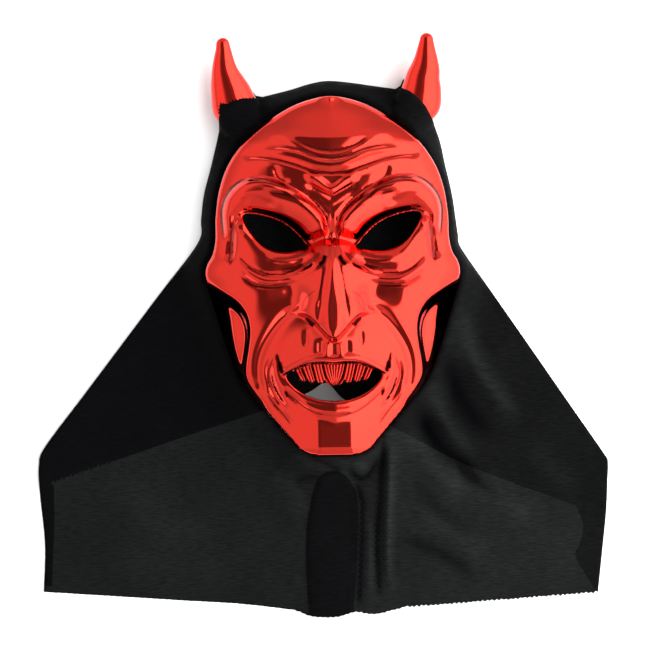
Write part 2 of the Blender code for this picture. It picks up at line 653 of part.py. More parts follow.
# The lower edge of the hood's back layer, from the left side over its peak to the right side.
BACK_HEM = (
    (-206.0, -116.9), (-150.0, -97.5), (-100.0, -80.3), (-49.2, -63.2), (-12.5, -49.2), (2.2, -41.6),
    (14.8, -53.1), (45.1, -70.4), (72.0, -84.8), (99.8, -99.2), (143.0, -115.8), (181.2, -129.5),
    (206.0, -139.0),
)


def placed(points):
    """Points of the mask's frame in the object's frame."""
    c, s = math.cos(FACE_TURN), math.sin(FACE_TURN)
    points = np.asarray(points, dtype=float)
    turned = points @ np.array([[c, s], [-s, c]])
    return turned + (FACE_X, FACE_Y)


def horn_clearance(x, y):
    """How far each point is outside the nearer horn, and the height of the cloth over that horn there."""
    over = np.full(np.shape(x), 1e9)
    top = np.zeros(np.shape(x))
    for stations in (HORN_LEFT, HORN_RIGHT):
        line, radius, height = horn_profile(stations, 3.0)
        gap, along, _ = line_distance(x, y, line)
        share = np.linspace(0.0, 1.0, len(line))
        r = np.interp(along, share, radius)
        z = np.interp(along, share, height)
        wide = r + HORN_ROOM
        rise = HORN_FLAT * np.sqrt(np.clip(wide ** 2 - gap ** 2, 0.0, None))
        top = np.maximum(top, np.where(gap < wide, z + rise + HORN_COVER, 0.0))
        over = np.minimum(over, gap - r)
    return over, top


def hood_points(band, opening, hem):
    """Points of the hood's plan, over the horns' roots, round the face and in a lattice, clear of every edge.

    The part under the mask's chin needs no points of its own.
    """
    rings = [placed(grown(smooth_line(mirrored(FACE_HALF), 11.0, True), by)) for by in (6.0, 13.0, 24.0)]
    mounds = []
    for stations in (HORN_LEFT, HORN_RIGHT):
        table = np.asarray(stations)[:3]
        mounds += [table[:, :2] + (dx, dy) for dx in (-15.0, -8.0, 0.0, 8.0, 15.0) for dy in (-6.0, 2.0)]
    groups = [(np.vstack(mounds), 4.5)] + [(ring, 6.0) for ring in rings]
    groups.append((lattice((-205.0, -205.0), (205.0, 175.0), HOOD_STEP), 22.0))
    free = spaced(groups)
    x, y = free[:, 0], free[:, 1]
    clear = inside(x, y, band)
    for loop, room in ((band, 3.0), (opening, 2.6)):
        gap, _, _ = line_distance(x, y, np.vstack([loop, loop[:1]]))
        clear &= gap > room
    gap, _, _ = line_distance(x, y, hem)
    clear &= gap > 4.0
    clear &= ~inside(x, y, opening) | (y > -30.0)
    return free[clear]


def front_underside(x, y, opening, hem, back_area):
    """The height of the front layer's underside, lifted to the mask's edge and over back layer and horns."""
    away, _, _ = line_distance(x, y, np.vstack([opening, opening[:1]]))
    lift = HOOD_LIFT * np.exp(-(away / HOOD_SPREAD) ** 2)
    to_hem, _, _ = line_distance(x, y, hem)
    above_hem = inside(x, y - 0.01, back_area) | (to_hem < 0.5)
    step = np.where(above_hem, 1.0, ease(1.0 - to_hem / HEM_STEP)) * (FLOOR_LAYER + GAP)
    _, horn_top = horn_clearance(x, y)
    return np.maximum(np.maximum(lift, step), horn_top)


def hood(material):
    """The cloth hood: a front layer round the face and over the horns' roots, and a back layer beneath."""
    outline = np.asarray(HOOD_OUTLINE)
    band = grown(outline, -FOLD_BAND)
    opening = placed(grown(smooth_line(mirrored(FACE_HALF), 9.0, True), OPENING_GROWTH))
    hem = np.asarray(BACK_HEM)
    corners, triangles = plan_of((outline, band, opening), hood_points(band, opening, hem), (hem,))
    mid = corners[triangles].mean(axis=1)
    triangles = triangles[inside(mid[:, 0], mid[:, 1], outline)]
    mid = corners[triangles].mean(axis=1)
    x, y = corners[:, 0], corners[:, 1]
    back_area = np.vstack([hem, (210.0, 220.0), (-210.0, 220.0)])
    doubled = inside(mid[:, 0], mid[:, 1], back_area)
    front = ~inside(mid[:, 0], mid[:, 1], opening)
    over, _ = horn_clearance(mid[:, 0], mid[:, 1])
    folded = doubled & ~inside(mid[:, 0], mid[:, 1], band) & (over > HORN_FOLD_GAP)
    low = front_underside(x, y, opening, hem, back_area)
    sheets = (np.zeros(len(x)), np.full(len(x), FLOOR_LAYER), low, low + CLOTH)
    points, faces = stacked_mesh(corners, triangles, sheets, (doubled, folded, front))
    return add_object("hood", points, faces, material)


def main():
    """Build the whole object."""
    for old in list(bpy.data.objects):
        bpy.data.objects.remove(old)
    red = red_plastic()
    mask_shell(red)
    horn("horn_left", HORN_LEFT, red_plastic())
    horn("horn_right", HORN_RIGHT, red_plastic())
    hood(black_cloth())


if __name__ == "__main__":
    main()
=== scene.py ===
"""Looks of a red devil mask with two horns, sewn into a black knit hood, lying face up.

The mask is a thin vacuum-formed plastic face, metallised and lacquered red, with
open eyes and mouth. Its hood is a bag of light black knit: a front layer with
the face opening, drawn over the roots of the horns and laid out as a cape, and
a shorter back layer. All the shapes are written in millimetres, and only the
finished meshes are in metres.
"""
import logging
import math
from dataclasses import dataclass
from enum import Enum

import bpy
import numpy as np
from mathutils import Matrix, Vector, noise
from mathutils.geometry import delaunay_2d_cdt


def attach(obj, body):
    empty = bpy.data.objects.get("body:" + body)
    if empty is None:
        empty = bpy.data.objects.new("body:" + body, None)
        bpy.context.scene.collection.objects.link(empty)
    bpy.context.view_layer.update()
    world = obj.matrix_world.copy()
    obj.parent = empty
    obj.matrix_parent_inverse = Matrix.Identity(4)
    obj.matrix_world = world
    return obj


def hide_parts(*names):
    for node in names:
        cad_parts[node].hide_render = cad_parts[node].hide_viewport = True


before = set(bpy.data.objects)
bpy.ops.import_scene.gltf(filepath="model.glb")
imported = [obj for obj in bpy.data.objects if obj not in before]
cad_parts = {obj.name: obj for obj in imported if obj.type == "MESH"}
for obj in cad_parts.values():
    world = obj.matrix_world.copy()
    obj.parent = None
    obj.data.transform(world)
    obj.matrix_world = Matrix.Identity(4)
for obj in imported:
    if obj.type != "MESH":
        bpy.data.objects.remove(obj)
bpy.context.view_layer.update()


LOG = logging.getLogger("devil_mask")
METRES = 0.001
TAU = 2.0 * math.pi

# The mask's own frame: x from its middle line, y from half its height.
FACE_X = 6.7
FACE_Y = 35.4
FACE_TURN = math.radians(0.9)

# The picture that the cape's lines were read from: its middle in pixels, and a pixel in mm.
PICTURE_MIDDLE = (323.4, 325.2)
PIXEL_MM = 0.72

Line = np.ndarray


def ease(value: np.ndarray) -> np.ndarray:
    """Smooth step from 0 to 1."""
    t = np.clip(value, 0.0, 1.0)
    return t * t * (3.0 - 2.0 * t)


def smooth_line(points: tuple, spacing: float, closed: bool = False) -> Line:
    """Evenly spaced points on a smooth curve.

    Args:
        points: the points that the curve goes through, in mm.
        spacing: the distance between the new points, in mm.
        closed: whether the curve joins its last point to its first.

    Returns:
        An array of the new points.
    """
    knots = np.asarray(points, dtype=float)
    if closed:
        padded = np.vstack([knots[-1], knots, knots[0], knots[1]])
        spans = len(knots)
    else:
        padded = np.vstack([2 * knots[0] - knots[1], knots, 2 * knots[-1] - knots[-2]])
        spans = len(knots) - 1
    t = np.linspace(0.0, 1.0, 24, endpoint=False)[:, None]
    fine = []
    for k in range(spans):
        a, b, c, d = padded[k:k + 4]
        fine.append(0.5 * (2 * b + (c - a) * t + (2 * a - 5 * b + 4 * c - d) * t ** 2
                           + (3 * b - a - 3 * c + d) * t ** 3))
    fine.append(padded[spans + 1][None, :])
    fine = np.vstack(fine)
    steps = np.hypot(*np.diff(fine[:, :2], axis=0).T)
    along = np.concatenate([[0.0], np.cumsum(steps)])
    pieces = max(2, round(along[-1] / spacing))
    wanted = np.linspace(0.0, along[-1], pieces + 1)
    if closed:
        wanted = wanted[:-1]
    return np.column_stack([np.interp(wanted, along, fine[:, axis]) for axis in range(fine.shape[1])])


def mirrored(half: tuple) -> Line:
    """A closed outline from its right half, which runs from the top to the bottom."""
    right = np.asarray(half, dtype=float)
    left = right[::-1] * (-1.0, 1.0)
    return np.vstack([right, left[np.abs(left[:, 0]) > 1e-9]])


def line_distance(x: np.ndarray, y: np.ndarray, line: Line) -> tuple:
    """Where points lie beside a line.

    Args:
        x: the points' places across, in mm.
        y: the points' places up, in mm.
        line: the line's points.

    Returns:
        Each point's distance, how far along the line it is, 0 to 1, and its
        side, 1 on the left of the line's run.
    """
    runs = np.diff(line, axis=0)
    lengths = np.hypot(runs[:, 0], runs[:, 1])
    before = np.concatenate([[0.0], np.cumsum(lengths)])
    best = np.full(np.shape(x), 1e9)
    along = np.zeros(np.shape(x))
    side = np.ones(np.shape(x))
    for start, run, length, passed in zip(line[:-1], runs, lengths, before):
        dx, dy = x - start[0], y - start[1]
        t = np.clip((dx * run[0] + dy * run[1]) / length ** 2, 0.0, 1.0)
        gap = np.hypot(dx - t * run[0], dy - t * run[1])
        nearer = gap < best
        best = np.where(nearer, gap, best)
        along = np.where(nearer, (passed + t * length) / before[-1], along)
        side = np.where(nearer, np.where(run[0] * dy - run[1] * dx > 0.0, 1.0, -1.0), side)
    return best, along, side


def near_line(x: np.ndarray, y: np.ndarray, line: Line, reach: float) -> tuple:
    """As line_distance, but worked out only for points within a reach of the line's box.

    Args:
        x: the points' places across, in mm.
        y: the points' places up, in mm.
        line: the line's points.
        reach: how far from the line's box the distance still matters, in mm.

    Returns:
        Each point's distance (very large beyond the reach), place along and side.
    """
    low, high = line.min(axis=0) - reach, line.max(axis=0) + reach
    near = (x > low[0]) & (x < high[0]) & (y > low[1]) & (y < high[1])
    gap = np.full(np.shape(x), 1e9)
    along = np.zeros(np.shape(x))
    side = np.ones(np.shape(x))
    gap[near], along[near], side[near] = line_distance(x[near], y[near], line)
    return gap, along, side


def inside(x: np.ndarray, y: np.ndarray, loop: Line) -> np.ndarray:
    """Whether each point is inside a closed loop."""
    result = np.zeros(np.shape(x), dtype=bool)
    for (x0, y0), (x1, y1) in zip(loop, np.roll(loop, -1, axis=0)):
        if y0 == y1:
            continue
        crosses = (y0 > y) != (y1 > y)
        result ^= crosses & (x < x0 + (y - y0) * (x1 - x0) / (y1 - y0))
    return result


def round_loop(loop: Line) -> Line:
    """A loop with its first point repeated at its end."""
    return np.vstack([loop, loop[:1]])


def grown(loop: Line, by: float) -> Line:
    """A clockwise loop moved outwards by a distance."""
    run = np.roll(loop, -1, axis=0) - np.roll(loop, 1, axis=0)
    run /= np.hypot(run[:, 0], run[:, 1])[:, None]
    return loop + np.column_stack([-run[:, 1], run[:, 0]]) * by


def mound(x: np.ndarray, y: np.ndarray, centre: tuple, size: tuple, turn: float = 0.0) -> np.ndarray:
    """A smooth round hill of height 1.

    Args:
        x: the points' places across, in mm.
        y: the points' places up, in mm.
        centre: the hill's middle.
        size: its half widths along its own two directions.
        turn: how far it is turned anticlockwise, in degrees.

    Returns:
        The hill's height at each point.
    """
    c, s = math.cos(math.radians(turn)), math.sin(math.radians(turn))
    dx, dy = x - centre[0], y - centre[1]
    return np.exp(-((dx * c + dy * s) / size[0]) ** 2 - ((dy * c - dx * s) / size[1]) ** 2)


def lattice(low: tuple, high: tuple, spacing: float) -> Line:
    """Points of a triangular lattice that fills a box."""
    found = []
    for number, y in enumerate(np.arange(low[1], high[1], spacing * math.sqrt(0.75))):
        xs = np.arange(low[0] + (number % 2) * spacing / 2, high[0], spacing)
        found.append(np.column_stack([xs, np.full(len(xs), y)]))
    return np.vstack(found)


def placed(points: Line) -> Line:
    """Points of the mask's frame in the object's frame."""
    c, s = math.cos(FACE_TURN), math.sin(FACE_TURN)
    return np.asarray(points, dtype=float) @ np.array([[c, s], [-s, c]]) + (FACE_X, FACE_Y)


def plan_of(loops: tuple, free_points: Line, lines: tuple = ()) -> tuple:
    """One triangulated plan.

    Args:
        loops: closed loops whose sides become edges.
        free_points: the other points.
        lines: open lines whose pieces become edges.

    Returns:
        The plan's points and its triangles, anticlockwise.
    """
    points: list = []
    edges: list = []
    for line, closed in [(loop, True) for loop in loops] + [(line, False) for line in lines]:
        first = len(points)
        points += [(float(a), float(b)) for a, b in line]
        edges += [(first + k, first + k + 1) for k in range(len(line) - 1)]
        if closed:
            edges.append((first + len(line) - 1, first))
    points += [(float(a), float(b)) for a, b in free_points]
    result = delaunay_2d_cdt(points, edges, [], 0, 1e-5)
    corners = np.array([tuple(v) for v in result[0]])
    triangles = np.array(result[2], dtype=int)
    a, b, c = (corners[triangles[:, k]] for k in range(3))
    turn = (b[:, 0] - a[:, 0]) * (c[:, 1] - a[:, 1]) - (b[:, 1] - a[:, 1]) * (c[:, 0] - a[:, 0])
    triangles[turn < 0] = triangles[turn < 0][:, ::-1]
    return corners, triangles[np.abs(turn) > 1e-7]


def clear_of(points: Line, loops: tuple, room: float) -> np.ndarray:
    """Which points are further than a distance from every loop."""
    far = np.ones(len(points), dtype=bool)
    for loop in loops:
        gap, _, _ = near_line(points[:, 0], points[:, 1], round_loop(loop), 2 * room)
        far &= gap > room
    return far


def filled_plan(loops: tuple, free: Line, room: float, lines: tuple = (), line_room: float = 0.0) -> tuple:
    """A plan with its holes cut out.

    Args:
        loops: the outline and then the holes.
        free: points to fill it with.
        room: how far those stay from the loops, in mm.
        lines: open lines that the triangles follow.
        line_room: how far the points stay from those lines, in mm.

    Returns:
        The plan's points and triangles.
    """
    wanted = inside(free[:, 0], free[:, 1], loops[0]) & clear_of(free, loops, room)
    for hole in loops[1:]:
        wanted &= ~inside(free[:, 0], free[:, 1], hole)
    for line in lines:
        gap, _, _ = near_line(free[:, 0], free[:, 1], line, 2.5 * line_room)
        wanted &= gap > line_room
    corners, triangles = plan_of(loops, free[wanted], lines)
    middle = corners[triangles].mean(axis=1)
    keep = inside(middle[:, 0], middle[:, 1], loops[0])
    for hole in loops[1:]:
        keep &= ~inside(middle[:, 0], middle[:, 1], hole)
    return corners, triangles[keep]


def select_only(piece: bpy.types.Object) -> None:
    """Select one object and make it the active one."""
    bpy.ops.object.select_all(action="DESELECT")
    piece.select_set(True)
    bpy.context.view_layer.objects.active = piece


def mesh_piece(name: str, points: np.ndarray, faces: list) -> bpy.types.Object:
    """A new object from points in millimetres, with its place in its mesh."""
    mesh = bpy.data.meshes.new(name)
    mesh.from_pydata((np.asarray(points) * METRES).tolist(), [], faces)
    mesh.update()
    mesh.shade_smooth()
    piece = bpy.data.objects.new(name, mesh)
    bpy.context.collection.objects.link(piece)
    return piece


def thicken(piece: bpy.types.Object, thickness: float) -> None:
    """Give a sheet its thickness, below the side that it shows.

    Args:
        piece: the open sheet.
        thickness: the thickness in mm.
    """
    select_only(piece)
    solid = piece.modifiers.new("thickness", "SOLIDIFY")
    solid.thickness = thickness * METRES
    solid.offset = -1.0
    solid.use_rim = True
    bpy.ops.object.modifier_apply(modifier=solid.name)


# Materials


def linear(colour: str) -> tuple:
    """A linear colour with full cover from an sRGB hex value such as "#c81e12"."""
    parts = [int(colour[k:k + 2], 16) / 255.0 for k in (1, 3, 5)]
    return (*[c / 12.92 if c <= 0.04045 else ((c + 0.055) / 1.055) ** 2.4 for c in parts], 1.0)


def add_node(tree: bpy.types.NodeTree, kind: str, links: dict | None = None,
             **settings: object) -> bpy.types.Node:
    """Add one node.

    Args:
        tree: the node tree.
        kind: the node's type.
        links: an output socket, or a plain value, for each input named or numbered.
        settings: the node's own properties.

    Returns:
        The new node.
    """
    node = tree.nodes.new(kind)
    for name, value in settings.items():
        setattr(node, name, value)
    for name, value in (links or {}).items():
        socket = node.inputs[name]
        if isinstance(value, bpy.types.NodeSocket):
            tree.links.new(value, socket)
        else:
            socket.default_value = value
    return node


def new_material(name: str) -> tuple:
    """A new material, its node tree and its main shader."""
    material = bpy.data.materials.new(name)
    material.use_nodes = True
    return material, material.node_tree, material.node_tree.nodes["Principled BSDF"]


@dataclass(frozen=True)
class RedLacquer:
    """Metallised ABS under red lacquer, vacuum-formed: a near mirror, slightly wavy, with faint haze."""

    name: str
    colour: str = "#cd1d0b"
    hazed: str = "#c42411"
    # The near black below is painted shade: the lacquer is mixed towards it in the thin creases, under the
    # upper lip and between the teeth.
    groove_shade: str = "#160101"
    coat: float = 0.4
    roughness: float = 0.055
    haze_roughness: float = 0.13
    wave_mm: float = 24.0
    wave_height: float = 0.05

    def make(self) -> bpy.types.Material:
        """The material, with its haze and waves at their real size, and with painted shade in the thin
        creases, where its coat fades out.
        """
        material, tree, shader = new_material(self.name)
        where = add_node(tree, "ShaderNodeTexCoord").outputs["Object"]
        haze = add_node(tree, "ShaderNodeTexNoise",
                        {"Vector": where, "Scale": 38.0, "Detail": 4.0, "Roughness": 0.6})
        # The mesh attribute read here says where shade is painted, 1 in the darkest creases.
        groove_shade = add_node(tree, "ShaderNodeAttribute", attribute_name="groove_shade")
        lacquer = add_node(tree, "ShaderNodeValToRGB", {"Fac": haze.outputs["Fac"]})
        stops = zip(lacquer.color_ramp.elements, ((0.3, self.colour), (0.75, self.hazed)))
        for element, (place, colour) in stops:
            element.position = place
            element.color = linear(colour)
        lacquer_with_painted_shade = add_node(tree, "ShaderNodeMix",
                          {"Factor": groove_shade.outputs["Fac"], "A": lacquer.outputs["Color"],
                           "B": linear(self.groove_shade)}, data_type="RGBA")
        tree.links.new(lacquer_with_painted_shade.outputs["Result"], shader.inputs["Base Color"])
        rough = add_node(tree, "ShaderNodeMapRange",
                         {"Value": haze.outputs["Fac"], "From Min": 0.35, "From Max": 0.8,
                          "To Min": self.roughness, "To Max": self.haze_roughness})
        tree.links.new(rough.outputs["Result"], shader.inputs["Roughness"])
        waves = add_node(tree, "ShaderNodeTexNoise",
                         {"Vector": where, "Scale": 1000.0 / self.wave_mm, "Detail": 1.5, "Roughness": 0.4})
        bump = add_node(tree, "ShaderNodeBump",
                        {"Height": waves.outputs["Fac"], "Strength": 1.0,
                         "Distance": self.wave_height * METRES})
        tree.links.new(bump.outputs["Normal"], shader.inputs["Normal"])
        shader.inputs["Metallic"].default_value = 1.0
        # The coat fades out where shade is painted, so no reflection lightens it.
        coat = add_node(tree, "ShaderNodeMapRange",
                        {"Value": groove_shade.outputs["Fac"], "To Min": self.coat, "To Max": 0.0})
        tree.links.new(coat.outputs["Result"], shader.inputs["Coat Weight"])
        shader.inputs["Coat Roughness"].default_value = 0.03
        return material


@dataclass(frozen=True)
class BlackKnit:
    """Light black polyester jersey, machine-knitted: matt, with fine courses and a slight sheen of fuzz."""

    name: str = "black_polyester_jersey_knitted"
    # The one-layer colour is lighter than the two-layer one: painted light, for the pale floor showing
    # through the thin knit.
    single_with_painted_floor_light: str = "#101111"
    double: str = "#050506"
    course_mm: float = 0.95
    streak_mm: float = 7.0

    def make(self) -> bpy.types.Material:
        """The material. Its courses are drawn about twice as coarse as real ones so that they show."""
        material, tree, shader = new_material(self.name)
        where = add_node(tree, "ShaderNodeTexCoord").outputs["Object"]
        fold_height_for_painted_light = add_node(tree, "ShaderNodeMapping",
                             {"Vector": where,
                              "Scale": (1000.0 / self.streak_mm, 1000.0 / self.course_mm, 80.0)})
        courses = add_node(tree, "ShaderNodeTexNoise",
                           {"Vector": fold_height_for_painted_light.outputs["Vector"], "Scale": 1.0, "Detail": 3.0,
                            "Roughness": 0.55})
        blotch = add_node(tree, "ShaderNodeTexNoise", {"Vector": where, "Scale": 22.0, "Detail": 3.0})
        # The doubled attribute mixes the two colours and carries painted light too: lighter fold crests,
        # darker valleys, a lighter right half and a lighter back layer under the face.
        layers_and_painted_light = add_node(tree, "ShaderNodeAttribute", attribute_name="doubled")
        cloth_tone_with_painted_light = add_node(tree, "ShaderNodeMix",
                        {"Factor": layers_and_painted_light.outputs["Fac"], "A": linear(self.single_with_painted_floor_light),
                         "B": linear(self.double)},
                        data_type="RGBA", clamp_factor=False)
        light = add_node(tree, "ShaderNodeMapRange",
                         {"Value": courses.outputs["Fac"], "From Min": 0.3, "From Max": 0.72,
                          "To Min": 0.62, "To Max": 1.5})
        patch = add_node(tree, "ShaderNodeMapRange",
                         {"Value": blotch.outputs["Fac"], "From Min": 0.3, "From Max": 0.7,
                          "To Min": 0.85, "To Max": 1.15})
        both = add_node(tree, "ShaderNodeMath", {0: light.outputs["Result"], 1: patch.outputs["Result"]},
                        operation="MULTIPLY")
        shade = add_node(tree, "ShaderNodeVectorMath",
                         {0: cloth_tone_with_painted_light.outputs[2], "Scale": both.outputs["Value"]}, operation="SCALE")
        tree.links.new(shade.outputs["Vector"], shader.inputs["Base Color"])
        bump = add_node(tree, "ShaderNodeBump",
                        {"Height": courses.outputs["Fac"], "Strength": 0.5, "Distance": 0.25 * METRES})
        tree.links.new(bump.outputs["Normal"], shader.inputs["Normal"])
        shader.inputs["Roughness"].default_value = 0.92
        shader.inputs["Specular IOR Level"].default_value = 0.04
        shader.inputs["Sheen Weight"].default_value = 0.01
        shader.inputs["Sheen Roughness"].default_value = 0.5
        return material


@dataclass(frozen=True)
class PaleFloor:
    """The plain pale studio floor: matt white board."""

    name: str = "matt_white_board_painted"
    colour: str = "#fcfcfc"

    def make(self) -> bpy.types.Material:
        """The material, a flat matt white."""
        material, _, shader = new_material(self.name)
        shader.inputs["Base Color"].default_value = linear(self.colour)
        shader.inputs["Roughness"].default_value = 0.9
        return material


# The mask


class FoldKind(Enum):
    """How a fold's height falls away from its line."""

    RIDGE = "ridge"
    CREASE = "crease"
    ROLL = "roll"


@dataclass(frozen=True)
class Fold:
    """A fold along a line on one half of the face, or anywhere on the cloth.

    A ridge is a round swelling, or a furrow below zero. A crease is a narrow
    cut with full sides. Each may be wider on the right of its line's run. A
    roll swells up on the right of its line only, and fades over its reach.
    """

    kind: FoldKind
    line: tuple
    height: float
    width: float
    taper: float = 0.15
    right_width: float = 0.0
    reach: float = 12.0
    whole: bool = False

    def relief(self, x: np.ndarray, y: np.ndarray) -> np.ndarray:
        """Height that the fold adds.

        Args:
            x: the points' places across, in mm.
            y: the points' places up, in mm.

        Returns:
            The added height at each point, in mm.
        """
        right = self.right_width or self.width
        far = max(3.2 * self.width, 3.2 * right, 1.8 * self.reach if self.kind is FoldKind.ROLL else 0.0)
        gap, along, side = near_line(x, y, smooth_line(self.line, 0.8), far)
        fade = ease((1.0 - along) / self.taper)
        if self.whole or self.line[0][0] > 0.0:
            fade = fade * ease(along / self.taper)
        width = np.where(side > 0.0, self.width, right)
        if self.kind is FoldKind.RIDGE:
            return self.height * fade * np.exp(-(gap / width) ** 2)
        if self.kind is FoldKind.CREASE:
            soft = 0.3 * width
            return -self.height * fade * np.exp(-(np.hypot(gap, soft) - soft) / width)
        risen = (1.0 - np.exp(-gap / self.width)) * np.exp(-(gap / self.reach) ** 2)
        return self.height * fade * np.where(side < 0.0, risen, -0.12 * np.exp(-gap / self.width))


RIDGE, CREASE, ROLL = FoldKind.RIDGE, FoldKind.CREASE, FoldKind.ROLL


def graph(at: np.ndarray, places: tuple, values: tuple) -> np.ndarray:
    """A smooth curve through a table's values.

    Args:
        at: where the curve is wanted.
        places: the table's places, in rising order.
        values: its value at each place.

    Returns:
        The curve's value at each wanted place.
    """
    fine = smooth_line(tuple(zip(places, values)), 0.5)
    return np.interp(at, np.maximum.accumulate(fine[:, 0]), fine[:, 1])


